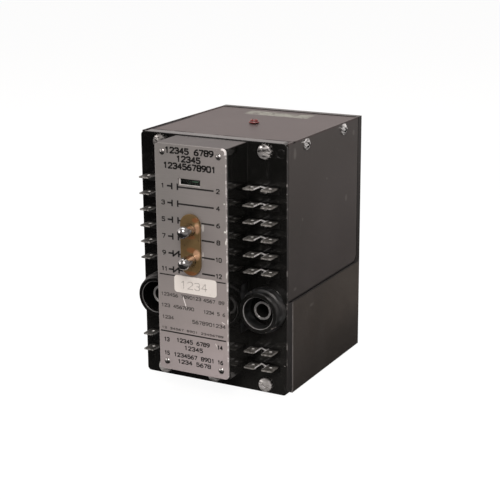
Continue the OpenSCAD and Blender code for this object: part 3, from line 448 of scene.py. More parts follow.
def plate_metal():
    """Dull anodised plate: fine grain along X, painted shade that darkens it upward and to the left, and a
    painted highlight broken into specks down its right edge and round its top right corner.
    """
    m = Material("plate_metal", IOR=1.6, Metallic=0.12)
    x, z = m.xyz("XZ")
    grain = m.noise(300, 4, 0.7, 0.0, m.scaled(0.25, 1, 7))
    cloud = m.noise(28, 4, 0.55, 0.3)
    stain = m.step(m.noise(70, 5, 0.65, 0.8), 0.55, 0.75)
    edge = m.edges(0.0007, 0.015, 0.15)
    # Painted highlight, broken into specks, down the right edge and round the top right corner; fainter on
    # the left edges
    right_edge_highlight = m.product(m.step(x, 0.0225, 0.0227), m.step(m.noise(420, 3, 0.7), 0.50, 0.60, 0.15, 1.0))
    corner_highlight = m.ring(23.0 - CORNER, 149.4 - CORNER, CORNER - 0.3, 0.75)
    corner_highlight = m.product(corner_highlight, m.step(x, 0.0195, 0.0205), m.step(z, 0.1455, 0.1465))
    pale_edges = m.most(right_edge_highlight, corner_highlight)
    left = m.product(edge, m.step(x, -0.0212, -0.0226), 0.3)
    fleck = m.product(m.step(m.cells(330), 0.09, 0.03), m.step(m.noise(50, 3, 0.6), 0.48, 0.66))
    # Painted shade: the plate darkens upward and to the left, and is paler and pinker at the very bottom
    shade = m.math("ADD", m.step(z, 0.010, 0.120, 0.0, 0.75), m.step(x, 0.022, -0.022, 0.0, 0.25))
    light = m.mix(cloud, (0.345, 0.305, 0.300), (0.425, 0.378, 0.371))
    light = m.mix(m.step(z, 0.045, 0.020), light, m.mix(cloud, (0.400, 0.355, 0.360), (0.490, 0.438, 0.445)))
    colour = m.mix(shade, light, m.mix(cloud, (0.150, 0.149, 0.144), (0.192, 0.190, 0.182)))
    colour = m.mix(m.product(grain, 0.3), colour, (0.36, 0.32, 0.31))
    colour = m.mix(m.product(stain, 0.22), colour, (0.19, 0.165, 0.155))
    colour = m.mix(m.product(m.most(pale_edges, left), 0.95), colour, (0.92, 0.90, 0.89))
    colour = m.mix(m.product(fleck, 0.6), colour, (0.66, 0.63, 0.61))
    for px, pz, rx, rz, strength in PALE_MARKS:
        mark = m.spot(at(px, -24.8, pz), (rx * MM, 2 * MM, rz * MM), 0.5, 1.0, 500)
        colour = m.mix(m.product(mark, strength), colour, (0.78, 0.78, 0.74))
    for start, end, width, strength in SCRATCHES:
        line = scratch_line(m, start, end, width)
        colour = m.mix(m.product(line, strength), colour, (0.85, 0.82, 0.80))
    m.set("Base Color", colour)
    m.set("Roughness", m.blend(grain, 0.40, 0.54))
    m.set("Normal", m.bump(grain, 0.00005, 0.35, m.normal(0.0003)))
    return m.m


def scratch_line(m, start, end, width):
    """A mask of a straight scratch on the nameplate, in millimetres."""
    x, z = m.xyz("XZ")
    length = math.dist(start, end)
    dx, dz = (end[0] - start[0]) / length, (end[1] - start[1]) / length
    px = m.math("SUBTRACT", m.math("DIVIDE", x, MM), start[0])
    pz = m.math("SUBTRACT", m.math("DIVIDE", z, MM), start[1])
    along = m.math("ADD", m.product(px, dx), m.product(pz, dz))
    across = m.math("ABSOLUTE", m.math("SUBTRACT", m.product(px, dz), m.product(pz, dx)))
    ends = m.product(m.step(along, -0.1, 0.4), m.step(along, length - 0.6, length, 1.0, 0.0))
    return m.product(ends, m.step(across, width * 0.6, width * 1.3, 1.0, 0.0))


def metal(name, colour, dark, rough, scale, dirt, edge=None, edge_radius=0.0003, bump=0.00004, stretch=None):
    """A worked metal with grain, tarnish in patches and, if a colour is given for them, brighter edges."""
    m = Material(name, Metallic=1.0)
    grain = m.noise(scale, 4, 0.65, 0.0, m.scaled(*stretch) if stretch else None)
    patch = m.step(m.noise(scale * 0.35, 5, 0.65, 0.7), 0.45, 0.75)
    tone = m.mix(grain, tuple(c * 0.82 for c in colour), colour)
    tone = m.mix(m.product(patch, dirt), tone, dark)
    if edge:
        tone = m.mix(m.product(m.edges(edge_radius, 0.03, 0.3), 0.85), tone, edge)
    m.set("Base Color", tone)
    m.set("Roughness", m.blend(patch, rough, min(1.0, rough + 0.2)))
    m.set("Normal", m.bump(grain, bump, 0.5, m.normal(edge_radius * 0.7)))
    return m.m


def brass_plate():
    """Tarnished brass: olive brown, rust red round the pins, with painted orange reflections of the pins
    beside them, and orange edges.
    """
    m = Material("brass_plate", Metallic=0.45)
    cloud = m.noise(120, 5, 0.6, 0.6)

    def patches(scale, *places):
        return m.most(*[m.spot(at(px, -26, pz), (rx * MM, 3 * MM, rz * MM), 0.6, 1.2, scale)
                        for px, pz, rx, rz in places])

    # Painted reflections of the pins: orange patches beside each pin, on its right
    rub = patches(300, (4.6, 102.6, 1.7, 3.0), (4.2, 87.2, 2.1, 2.8))
    rust = patches(
        260, (3.6, 107.4, 2.0, 1.4), (0.6, 97.4, 2.6, 1.3), (0.8, 89.6, 3.0, 1.6), (0.4, 75.8, 3.8, 1.3))
    tone = m.mix(cloud, (0.160, 0.102, 0.040), (0.250, 0.168, 0.070))
    tone = m.mix(m.product(rust, 0.75), tone, (0.33, 0.125, 0.045))
    tone = m.mix(m.product(rub, 0.75), tone, (0.78, 0.46, 0.28))
    pale_edges = m.product(m.edges(0.0004, 0.03, 0.3), m.step(m.noise(240, 4, 0.7), 0.45, 0.6))
    tone = m.mix(m.product(pale_edges, 0.6), tone, (0.72, 0.48, 0.3))
    tone = m.mix(m.step(m.noise(600, 4, 0.7), 0.6, 0.72, 0.0, 0.5), tone, (0.05, 0.032, 0.016))
    m.set("Base Color", tone)
    m.set("Roughness", m.blend(cloud, 0.30, 0.45))
    m.set("Normal", m.bump(cloud, 0.00008, 0.4, m.normal(0.0003)))
    return m.m


def tag_white():
    """Satin tape, rubbed a little grey."""
    m = Material("tag_white", IOR=1.46)
    cloud = m.noise(90, 4, 0.6)
    dirt = m.step(m.noise(240, 5, 0.7), 0.52, 0.74)
    tone = m.mix(cloud, (0.70, 0.67, 0.63), (0.78, 0.75, 0.71))
    tone = m.mix(m.product(dirt, 0.25), tone, (0.45, 0.41, 0.36))
    tone = m.mix(m.product(m.edges(0.0003, 0.05, 0.4), 0.35), tone, (0.9, 0.88, 0.86))
    m.set("Base Color", tone)
    m.set("Roughness", m.blend(dirt, 0.34, 0.5))
    m.set("Normal", m.bump(cloud, 0.0001, 0.3, m.normal(0.0003)))
    return m.m


def plain(name, colour, rough, scale, spread, stretch=None):
    """A moulded or wound material with a little variation in tone, gloss and surface."""
    m = Material(name)
    n = m.noise(scale, 4, 0.6, 0.0, m.scaled(*stretch) if stretch else None)
    dark, pale = (tuple(c * (1 + share) for c in colour) for share in (-spread, spread))
    m.set("Base Color", m.mix(n, dark, pale))
    m.set("Roughness", m.blend(n, rough * 0.85, rough * 1.15))
    m.set("Normal", m.bump(n, 0.00005, 0.5))
    return m.m


def window_clear():
    """Pale moulded walls that line the slot, with a clear pane at their rear."""
    m = Material("clear_window", IOR=1.45)
    haze = m.noise(400, 4, 0.6)
    scuff = m.step(m.noise(90, 5, 0.65, 0.6), 0.50, 0.75)
    pane = m.deeper(-21.98, -21.90)
    walls = m.mix(haze, (0.93, 0.92, 0.90), (0.98, 0.97, 0.96))
    m.set("Base Color", m.mix(pane, walls, (0.30, 0.34, 0.31)))
    m.set("Alpha", m.blend(pane, 1.0, m.blend(scuff, 0.01, 0.03)))
    m.set("Roughness", m.blend(pane, 0.4, m.blend(haze, 0.08, 0.2)))
    m.set("Normal", m.bump(haze, 0.00002, 0.3))
    return m.m


def flag_paint():
    """Green paint on the flag, darkened nearly to black as painted shade, with a faint green band and a paler
    stripe of painted light.
    """
    m = Material("flag_green")
    n = m.noise(300, 4, 0.6)
    streak = m.noise(500, 4, 0.6, 0.0, m.scaled(0.3, 1, 4))
    # Painted light and shade: the flag's green is darkened nearly to black, except for a faint green band and
    # a paler stripe
    stripe = m.product(m.slab("X", -0.0016, 0.0024, 0.0005), m.slab("Z", 0.12770, 0.12815, 0.0002))
    tone = m.mix(n, (0.0015, 0.004, 0.0025), (0.0025, 0.007, 0.004))
    tone = m.mix(m.product(m.slab("X", -0.0036, -0.0022, 0.0004), 0.8), tone, (0.004, 0.022, 0.012))
    stripe = m.product(stripe, m.step(streak, 0.3, 0.6, 0.4, 1.0))
    m.set("Base Color", m.mix(stripe, tone, (0.18, 0.46, 0.28)))
    m.set("Roughness", m.blend(n, 0.4, 0.55))
    m.set("Normal", m.bump(n, 0.00004, 0.4))
    return m.m


def glazed_red():
    """Red sealing wax: painted shade on the walls of the dimple in its middle, with a pale glint on its left.
    """
    m = Material("red_seal", IOR=1.5)
    x, y, z = m.xyz()
    n = m.noise(500, 4, 0.6)
    dy = m.math("SUBTRACT", y, at(0, HALF_DEPTH, 0).y)
    r = m.distance(x, dy)
    tone = m.mix(n, (0.12, 0.012, 0.011), (0.20, 0.024, 0.020))
    # Painted shade on the walls of the dimple
    dark = m.product(m.step(r, 0.0007, 0.0010), m.step(r, 0.0017, 0.0014))
    tone = m.mix(m.product(dark, 0.9), tone, (0.018, 0.005, 0.005))
    shade = m.product(m.step(z, 0.1513, 0.1509), m.step(r, 0.0028, 0.0024))
    tone = m.mix(shade, tone, (0.030, 0.006, 0.006))
    glint = m.spot(at(-1.9, HALF_DEPTH - 0.6, 151.7), (0.5 * MM, 1.0 * MM, 0.7 * MM), 0.5, 0.8, 600)
    m.set("Base Color", m.mix(m.product(glint, 0.7), tone, (0.62, 0.30, 0.28)))
    m.set("Roughness", m.blend(n, 0.25, 0.4))
    m.set("Normal", m.bump(n, 0.0002, 0.5))
    return m.m


def tinned_tab():
    """Dull tinned sheet: mottled tops, painted shade on the feet and over the left column, and painted
    highlights on the cut edges, slot walls and dimples.
    """
    m = Material("tinned_brass")
    x, y = m.xyz("XY")
    mottle = m.step(m.noise(420, 5, 0.7, 0.5), 0.42, 0.60)
    fine = m.noise(1100, 3, 0.7)
    stain = m.step(m.noise(150, 5, 0.65, 0.8), 0.46, 0.66)
    # Painted shade on the bend and foot, by the face
    foot_shade = m.deeper(-4.6, -1.6)
    edge = m.edges(0.0003, 0.04, 0.3)
    left = m.step(x, 0.0001, -0.0001)
    # The cut walls of the slot between the two tabs, and its slanted end, painted as highlights
    middle = m.math("SUBTRACT", m.math("ABSOLUTE", x), TAB_MIDDLE * MM)
    aside = m.math("ABSOLUTE", middle)
    beside = m.math("ABSOLUTE", m.math("SUBTRACT", aside, SLOT_HALF * MM))
    wall = m.product(m.step(beside, 0.00032, 0.0002), m.layer(-9.8, -1.0, 0.0002))
    signed = m.product(middle, m.step(x, -0.0001, 0.0001, -1.0, 1.0))
    slant = m.product(m.math("ADD", signed, SLOT_HALF * MM), SLOT_SLANT)
    behind = m.math("ABSOLUTE", m.math("ADD", m.math("SUBTRACT", y, at(0, -BEND, 0).y), slant))
    end = m.product(m.step(behind, 0.0006, 0.0004), m.step(aside, 0.0026, 0.0023))
    slot = m.product(m.most(wall, end), m.step(m.noise(520, 3, 0.6), 0.30, 0.42))
    slot = m.product(slot, m.rest(m.product(left, 0.75)))
    # A painted highlight along the front edge of the tabs
    front = m.product(m.deeper(-10.6, -10.9), m.step(fine, 0.40, 0.60, 0.0, 0.6))
    r = m.distance(m.math("SUBTRACT", aside, DIMPLE[0] * MM), m.math("SUBTRACT", y, at(0, DIMPLE[1], 0).y))
    tone = m.mix(mottle, (0.045, 0.043, 0.039), (0.27, 0.262, 0.245))
    tone = m.mix(m.product(fine, 0.25), tone, (0.30, 0.29, 0.27))
    tone = m.mix(m.product(stain, 0.6), tone, (0.040, 0.036, 0.030))
    # The left column is darkened as painted shade
    tone = m.mix(m.product(left, 0.72), tone, (0.022, 0.022, 0.020))
    tone = m.mix(m.product(m.step(r, 0.0017, 0.0013), 0.7), tone, (0.05, 0.048, 0.044))
    # Painted highlights on the edges and the front, and in the middle of each dimple
    tone = m.mix(m.product(m.most(m.product(edge, 0.55), front), 0.8), tone, (0.72, 0.71, 0.68))
    tone = m.mix(m.step(r, 0.0011, 0.0008), tone, (1.0, 1.0, 0.98))
    tone = m.mix(slot, tone, (1.0, 1.0, 1.0))
    tone = m.mix(m.product(foot_shade, m.rest(m.product(slot, 0.7))), tone, (0.008, 0.0075, 0.007))
    m.set("Base Color", tone)
    m.set("Metallic", m.blend(m.product(edge, m.rest(foot_shade)), 0.25, 0.4))
    m.set("Roughness", m.blend(mottle, 0.55, 0.42))
    m.set("Normal", m.bump(fine, 0.00004, 0.5, m.normal(0.00025)))
    return m.m


def screw_metal():
    """Zinc plate: mottled and streaked domes, darker in their slots."""
    m = Material("zinc_screw")
    x, y, z = m.xyz()
    streak = m.step(m.noise(260, 4, 0.65, 0.6, m.scaled(1.0, 1, 2.6, (0, 0.7, 0))), 0.44, 0.56)
    mottle = m.noise(900, 4, 0.7)
    panel = m.most(m.step(x, 0.0483, 0.0486), m.step(x, -0.0483, -0.0486))
    low = m.step(z, 0.06, 0.04)
    left = m.product(m.step(x, -0.025, -0.030), m.rest(low))
    dark = m.mix(low, (0.030, 0.029, 0.028), (0.34, 0.33, 0.32))
    tone = m.mix(streak, dark, m.mix(left, (0.80, 0.79, 0.78), (0.36, 0.35, 0.34)))
    tone = m.mix(m.product(mottle, m.blend(low, 0.15, 0.35)), tone, (0.50, 0.49, 0.48))
    tone = m.mix(panel, tone, m.mix(streak, (0.30, 0.30, 0.30), (0.95, 0.96, 0.96)))
    # The cross slots of the side panels' screws, turned by 35 degrees
    across, along = 0.574, 0.819
    arms = []
    for py in PANEL_SCREWS:
        dy = m.math("SUBTRACT", y, at(0, py, 0).y)
        dz = m.math("SUBTRACT", z, PANEL_SCREW_Z * MM)
        a = m.math("ABSOLUTE", m.math("ADD", m.product(dy, across), m.product(dz, along)))
        b = m.math("ABSOLUTE", m.math("SUBTRACT", m.product(dy, along), m.product(dz, across)))
        thin = m.step(m.math("MINIMUM", a, b), 0.00035, 0.00055, 1.0, 0.0)
        arms.append(m.product(m.step(m.most(a, b), 0.0019, 0.0024, 1.0, 0.0), thin))
    # Painted shade: the cross slots are painted dark.
    tone = m.mix(m.product(m.most(*arms), panel, 0.95), tone, (0.012, 0.011, 0.010))
    m.set("Base Color", tone)
    m.set("Metallic", m.blend(low, 0.6, 0.35))
    m.set("Roughness", m.blend(panel, m.blend(streak, 0.40, 0.18), 0.2))
    m.set("Normal", m.bump(mottle, 0.00006, 0.5, m.normal(0.0002)))
    return m.m


def sleeve_metal():
    """Dark plated tube with a bright turned end."""
    m = Material("sleeve_steel", Metallic=0.9)
    end = m.deeper(-3.9, -4.2)
    n = m.noise(300, 4, 0.65)
    turned = m.noise(260, 4, 0.6)
    tone = m.mix(n, (0.050, 0.048, 0.046), (0.11, 0.105, 0.10))
    tone = m.mix(m.product(end, m.step(turned, 0.25, 0.6, 0.6, 1.0)), tone, (0.95, 0.95, 0.94))
    m.set("Base Color", tone)
    m.set("Roughness", m.blend(n, 0.35, 0.5))
    m.set("Normal", m.bump(n, 0.00004, 0.4, m.normal(0.0003)))
    return m.m


def ink(name, scale, detail, spread, dark, pale, rough):
    """Silk-screen ink, or a mark that it has left: thin, and broken or rubbed in patches."""
    m = Material(name)
    n = m.noise(scale, detail, 0.7 if detail == 4 else 0.75)
    m.set("Base Color", m.mix(m.step(n, *spread), dark, pale))
    m.set("Roughness", m.blend(n, *rough))
    m.set("Normal", m.bump(n, 0.00002, 0.4))
    return m.m


MATERIALS = {
    "black_moulding": black_moulding(),
    "case_moulding": case_moulding(),
    "black_sheet": black_sheet(),
    "plate_metal": plate_metal(),
    "plate_rivet": metal("plate_rivet", (0.52, 0.51, 0.50), (0.10, 0.095, 0.09), 0.24, 700, 0.8),
    "clear_window": window_clear(),
    "brass_plate": brass_plate(),
    "polished_steel": metal(
        "polished_steel", (0.50, 0.50, 0.50), (0.26, 0.25, 0.24), 0.16, 700, 0.3, bump=0.00001),
    "tag_white": tag_white(),
    "tinned_brass": tinned_tab(),
    "stud_metal": metal(
        "stud_metal", (0.85, 0.84, 0.83), (0.4, 0.38, 0.35), 0.25, 900, 0.3, (0.95, 0.95, 0.95)),
    "zinc_screw": screw_metal(),
    "zinc_washer": metal(
        "zinc_washer", (0.16, 0.155, 0.15), (0.04, 0.038, 0.036), 0.40, 500, 0.6, (0.42, 0.41, 0.40), 0.0002),
    "sleeve_steel": sleeve_metal(),
    "red_seal": glazed_red(),
    "insulating_board": plain(
        "insulating_board", (0.10, 0.055, 0.028), 0.5, 150, 0.25, stretch=(1, 1, 4)),
    "frame_steel": metal(
        "frame_steel", (0.56, 0.56, 0.57), (0.2, 0.19, 0.17), 0.35, 260, 0.3, (0.8, 0.8, 0.8)),
    "magnet_grey": metal(
        "magnet_grey", (0.22, 0.22, 0.23), (0.08, 0.08, 0.08), 0.45, 200, 0.4, (0.4, 0.4, 0.4)),
    "bobbin_moulding": plain("bobbin_moulding", (0.62, 0.58, 0.48), 0.45, 120, 0.1),
    "copper_winding": metal(
        "copper_winding", (0.50, 0.20, 0.08), (0.2, 0.07, 0.03), 0.3, 120, 0.3, stretch=(1, 30, 1)),
    "bracket_brass": metal(
        "bracket_brass", (0.62, 0.42, 0.16), (0.2, 0.12, 0.04), 0.35, 240, 0.3, (0.8, 0.6, 0.3)),
    "carrier_moulding": plain("carrier_moulding", (0.50, 0.42, 0.30), 0.5, 160, 0.15),
    "contact_alloy": metal(
        "contact_alloy", (0.66, 0.44, 0.22), (0.22, 0.12, 0.05), 0.3, 300, 0.3, (0.85, 0.7, 0.5)),
    "spring_steel": metal("spring_steel", (0.6, 0.6, 0.62), (0.25, 0.24, 0.22), 0.3, 400, 0.3),
    "flag_green": flag_paint(),
}
INK = ink("plate_ink", 900, 4, (0.4, 0.75), (0.004, 0.004, 0.004), (0.022, 0.020, 0.019), (0.6, 0.8))
FAINT = ink("plate_ink_faint", 700, 5, (0.38, 0.62), (0.020, 0.018, 0.017), (0.080, 0.072, 0.068), (0.5, 0.6))
WORN = ink("tag_print", 800, 5, (0.35, 0.65), (0.40, 0.38, 0.355), (0.58, 0.555, 0.525), (0.5, 0.6))

slot_of = {p["node"]: p["material_slot"] for p in frame["record"]["subparts"]}
for name, obj in frame["nodes"].items():
    for s in obj.material_slots:
        s.material = MATERIALS[slot_of[name]]


# Pieces

def new_piece(name, bm, material, body, smooth=False):
    """An object from a closed mesh. It rides on the body, if one is named."""
    me = bpy.data.meshes.new(name)
    bmesh.ops.recalc_face_normals(bm, faces=bm.faces)
    bm.to_mesh(me)
    bm.free()
    for p in me.polygons:
        p.use_smooth = smooth
    me.materials.append(material)
    ob = bpy.data.objects.new(name, me)
    bpy.context.scene.collection.objects.link(ob)
    if body:
        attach(ob, body)
    return ob


def join(bm, row, other):
    """The faces between two closed rows of points."""
    for k in range(len(row)):
        j = (k + 1) % len(row)
        bm.faces.new((row[k], row[j], other[j], other[k]))


def prism(bm, outline, y0, y1):
    """A thin plate whose outline is given in X and Z (millimetres), between two depths."""
    front = [bm.verts.new(at(x, y0, z)) for x, z in outline]
    back = [bm.verts.new(at(x, y1, z)) for x, z in outline]
    bm.faces.new(front)
    bm.faces.new(list(reversed(back)))
    n = len(outline)
    for i in range(n):
        j = (i + 1) % n
        bm.faces.new((front[j], front[i], back[i], back[j]))


def stroke(bm, points, width, y0, y1):
    """A broad pen line through points in X and Z. Its parts reach a little past the points, to overlap."""
    past = 0.28
    for start, end in zip(points, points[1:]):
        along = (Vector(end) - Vector(start)).normalized()
        aside = Vector((-along.y, along.x)) * width / 2
        a, b = Vector(start) - along * width * past, Vector(end) + along * width * past
        prism(bm, [a + aside, b + aside, b - aside, a - aside], y0, y1)


# Digits as strokes on a grid 2 wide and 4 tall
DIGITS = {
    "0": [[(0.3, 0), (1.7, 0), (2, 0.6), (2, 3.4), (1.7, 4), (0.3, 4), (0, 3.4), (0, 0.6), (0.3, 0)]],
    "1": [[(0.4, 3.2), (1.1, 4), (1.1, 0)]],
    "2": [[(0, 3.3), (0.4, 4), (1.6, 4), (2, 3.4), (2, 2.6), (0, 0), (2, 0)]],
    "3": [[(0, 3.5), (0.5, 4), (1.6, 4), (2, 3.4), (2, 2.6), (1.5, 2.1), (0.8, 2.1)],
          [(1.5, 2.1), (2, 1.5), (2, 0.6), (1.6, 0), (0.4, 0), (0, 0.6)]],
    "4": [[(1.5, 0), (1.5, 4), (0, 1.3), (2.1, 1.3)]],
    "5": [[(1.9, 4), (0.2, 4), (0.1, 2.3), (1.4, 2.4), (2, 1.7), (2, 0.7), (1.5, 0), (0.4, 0), (0, 0.5)]],
    "6": [[(1.7, 4), (0.7, 3.5), (0, 2.0), (0, 0.6), (0.4, 0), (1.6, 0), (2, 0.6), (2, 1.5), (1.6, 2.1),
           (0.3, 2.1)]],
    "7": [[(0, 4), (2, 4), (0.8, 0)]],
    "8": [[(0.4, 2.1), (0, 1.5), (0, 0.6), (0.4, 0), (1.6, 0), (2, 0.6), (2, 1.5), (1.6, 2.1), (0.4, 2.1),
           (0, 2.7), (0, 3.4), (0.4, 4), (1.6, 4), (2, 3.4), (2, 2.7), (1.6, 2.1)]],
    "9": [[(1.7, 1.9), (0.4, 1.9), (0, 2.5), (0, 3.4), (0.4, 4), (1.6, 4), (2, 3.4), (2, 1.8), (1.3, 0.4),
           (0.4, 0)]],
}


def line_of_digits(bm, text, x0, x1, z, height, weight, y0, y1):
    """Plain digits that fill a line from x0 to x1, centred on z. A space leaves a gap."""
    between = 0.28
    cell = (x1 - x0) / (len(text) - between)
    unit_x = cell * (1 - between) / 2
    unit_z = height / 4
    for i, c in enumerate(text):
        left = x0 + i * cell
        for line in DIGITS.get(c, ()):
            stroke(bm, [(left + px * unit_x, z + (pz - 2) * unit_z) for px, pz in line], weight, y0, y1)


# The front of the nameplate and that of its ink, and the heights of the contact rows
PLATE = -24.8
PRINT = PLATE - 0.03
ROWS = (124.95, 115.2, 105.4, 95.5, 85.5, 75.9)
# The print is a touch wide, sits a little to the right of the plate's middle and leans by a fifth of a degree
PRINT_SET = Matrix(((1.005, 0, 0.0034, 0), (0, 1, 0, 0), (0, 0, 1.0009, 0.00016), (0, 0, 0, 1)))


def nameplate_print():
    """Lines of digits, rules, and a contact symbol in each of the six rows."""
    bm = bmesh.new()

    def line(width, *points):
        stroke(bm, points, width, PRINT, PLATE)

    def digits(height, weight, *lines):
        for text, x0, x1, z in lines:
            line_of_digits(bm, text, x0, x1, z, height, weight, PRINT, PLATE)

    digits(3.0, 0.92, ("12345 6789", -16.4, 14.3, 145.6), ("12345", -9.0, 6.0, 141.1),
           ("12345678901", -17.6, 15.7, 136.8))
    # Contact symbols: a lead, two plates and a lead, with a slash on the two closed ones
    for k, z in enumerate(ROWS):
        line(1.0, (-15.5, z), (-12.6, z))
        line(1.0, (-12.6, z - 1.6), (-12.6, z + 1.6))
        line(1.0, (-8.9, z - 1.6), (-8.9, z + 1.6))
        if k >= 4:
            line(1.0, (-12.6, z - 1.5), (-8.6, z + 1.7))
        # The brass plate round the pins interrupts the leads of the lower rows
        if k < 2:
            line(0.95, (-8.9, z - 0.05), (14.2, z - 0.1))
        else:
            line(0.95, (-8.9, z), (-6.6, z))
            line(0.95, (6.6, z), (14.4, z - 0.1))
        for number, x in ((2 * k + 1, -18.6), (2 * k + 2, 17.1)):
            half = 0.95 if number < 10 else 1.75
            digits(2.3, 0.58, (str(number), x - half, x + half, z - 0.1))
    # The rules above and below the rubbed lines, and the coil rows
    line(0.7, (-21.8, 72.35), (21.3, 72.3))
    line(0.8, (-21.9, 37.7), (21.3, 37.6))
    digits(2.15, 0.56, ("13", -19.8, -16.6, 32.6), ("14", 15.7, 18.9, 33.1), ("15", -19.8, -16.6, 24.2),
           ("16", 15.9, 19.1, 24.1), ("12345 6789", -11.4, 10.4, 33.2), ("12345", -6.2, 5.8, 29.2),
           ("1234567 8901", -13.4, 13.4, 24.1), ("1234 5678", -10.8, 11.0, 20.2))
    bmesh.ops.transform(bm, matrix=PRINT_SET, verts=bm.verts)
    new_piece("nameplate_print", bm, INK, "base")


def nameplate_fine_print():
    """Small rubbed lines of digits."""
    bm = bmesh.new()
    for text, x0, x1, z, height in (
            ("123456 7890123", -21.2, 5.2, 60.4, 1.8), ("4567 89", 7.0, 20.4, 60.2, 1.8),
            ("123 4567890", -21.2, 0.4, 53.6, 1.8), ("1234 5 6", 7.0, 20.8, 53.3, 1.8),
            ("1234", -20.8, -13.4, 46.4, 1.8), ("5678901234", -0.6, 21.0, 46.1, 1.9),
            ("12 34567 8901 23456789", -21.3, 19.6, 39.8, 1.1)):
        line_of_digits(bm, text, x0, x1, z, height, 0.4 if height > 1.5 else 0.3, PRINT, PLATE)
    bmesh.ops.transform(bm, matrix=PRINT_SET, verts=bm.verts)
    new_piece("nameplate_fine_print", bm, FAINT, "base")


def tag_digits():
    """The line on the tag."""
    bm = bmesh.new()
    line_of_digits(bm, "1234", -7.4, 9.7, 68.0, 4.2, 0.5, -25.33, -25.3)
    new_piece("tag_digits", bm, WORN, "base")


def terminal_tabs():
    """The terminals: each a sheet bent down at the face, with a straight slot between two dimpled tabs."""
    chamfer, dip_radius, dip_depth = 0.35, 1.1, 0.35
    # Places across the sheet, from the slot outward
    half = [SLOT_HALF] + [SLOT_HALF + chamfer + 0.5 * i for i in range(13)] + [TAB_HALF]
    columns = [-v for v in reversed(half)] + half
    gap = len(half) - 1
    # Pairs of points along the sheet, on its top or back and on its underside or front: the tabs, the bend
    # and the foot. The slot's slanted end goes from pair number web on the right to slot_end on the left.
    ys = [-TAB_REACH, 0.7 - TAB_REACH] + [-9.75 + 0.55 * i for i in range(15)]
    path = [((y, 0.0), (y, -SHEET)) for y in ys]
    slot_end, web = len(path), 12
    for i in range(6):
        a = math.radians(90 - 18 * i)
        path.append(tuple((r * math.cos(a) - BEND, r * math.sin(a) - BEND) for r in (BEND, BEND - SHEET)))
    path.append(((0.0, -FOOT), (-SHEET, -FOOT)))
    cells = {(i, j) for i in range(len(path) - 1) for j in range(len(columns) - 1)
             if j != gap or i >= slot_end}
    for side in ("left", "right"):
        for row in range(1, 9):
            node = f"terminal_{side}_{row}"
            low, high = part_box(node)
            middle, top = (low[0] + high[0]) / 2, high[2]
            bm = bmesh.new()
            grid = {}
            for i, pair in enumerate(path):
                for j, x in enumerate(columns):
                    cut = chamfer if i == 0 and abs(x) in (SLOT_HALF, TAB_HALF) else 0.0
                    for k, (y, z) in enumerate(pair):
                        if k == 0 and i < slot_end:
                            r = math.hypot(abs(x) - DIMPLE[0], y - DIMPLE[1])
                            z -= dip_depth * max(0.0, 1 - (r / dip_radius) ** 2)
                        place = (middle + x * MM, at(0, y + cut, 0).y, top + z * MM)
                        grid[i, j, k] = bm.verts.new(place)

            def wall(p, q):
                bm.faces.new([grid[p + (0,)], grid[q + (0,)], grid[q + (1,)], grid[p + (1,)]])

            for i, j in sorted(cells):
                corners = [(i, j), (i + 1, j), (i + 1, j + 1), (i, j + 1)]
                bm.faces.new([grid[c + (0,)] for c in corners])
                bm.faces.new([grid[c + (1,)] for c in reversed(corners)])
                beyond = [(i, j - 1), (i + 1, j), (i, j + 1), (i - 1, j)]
                for n in range(4):
                    slanted = (j == gap and n == 3) or (j == gap + 1 and n == 0 and i >= web)
                    if beyond[n] not in cells and not slanted:
                        wall(corners[n], corners[(n + 1) % 4])
            for k in (0, 1):
                far = [grid[i, gap + 1, k] for i in range(slot_end, web - 1, -1)]
                bm.faces.new([grid[slot_end, gap, k]] + far)
            wall((slot_end, gap), (web, gap + 1))
            ob = new_piece(f"tabs_{side}_{row}", bm, MATERIALS["tinned_brass"], "base")
            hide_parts(node)


def toothed_washers():
    """Five lock washers with outer teeth that are twisted, the one edge forward and the other back."""
    bm = bmesh.new()
    teeth, inner, root, tip = 14, 2.3, 3.9, 4.7
    front, back, twist, face = -0.72, -0.14, 0.132, -0.02
    for cx, cz in ((-34.5, 144.8), (34.5, 144.8), (-34.5, 5.3), (34.5, 5.3), (0, 5.3)):
        rings = []
        for k in range(teeth * 4):
            a = 2 * math.pi * k / (teeth * 4)
            c, s = math.cos(a), math.sin(a)
            r, lift = ((root, 0.0), (tip, -twist), (tip, twist), (root, 0.0))[k % 4]
            section = ((inner, front), (r, front + lift), (r, min(back + lift, face)), (inner, back))
            rings.append([bm.verts.new(at(cx + q * c, y, cz + q * s)) for q, y in section])
        for ring, following in zip(rings, rings[1:] + rings[:1]):
            join(bm, ring, following)
    ob = new_piece("toothed_washers", bm, MATERIALS["zinc_washer"], "base")
    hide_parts("face_washers")


def seal_wax():
    """Wax pressed into a button: a low uneven skirt, and a crown with a dimple in it."""
    bm = bmesh.new()
    turns, dimple = 64, 1.7
    profile = ((3.0, 0.0), (3.36, 0.25), (3.38, 0.5), (3.05, 0.72), (2.6, 0.85), (2.45, 1.1), (2.4, 1.55),
               (2.15, 1.95), (1.7, 2.18), (1.35, 2.1), (1.1, 1.8), (0.6, 1.65))
    rows = []
    for radius, h in profile:
        row = []
        for k in range(turns):
            a = 2 * math.pi * k / turns
            r = radius * (1 - 0.02 * (1 + math.sin(3 * a + 1)) - 0.015 * (1 + math.sin(7 * a + 2.2 * h)))
            row.append(bm.verts.new(at(r * math.cos(a), HALF_DEPTH + r * math.sin(a), TOP + h)))
        rows.append(row)
    for lower, upper in zip(rows, rows[1:]):
        join(bm, lower, upper)
    for row, h in ((rows[0], 0.0), (rows[-1], dimple)):
        middle = bm.verts.new(at(0, HALF_DEPTH, TOP + h))
        for k in range(turns):
            bm.faces.new((row[k], row[(k + 1) % turns], middle))
    ob = new_piece("seal_wax", bm, MATERIALS["red_seal"], "base", True)
    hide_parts("top_seal")


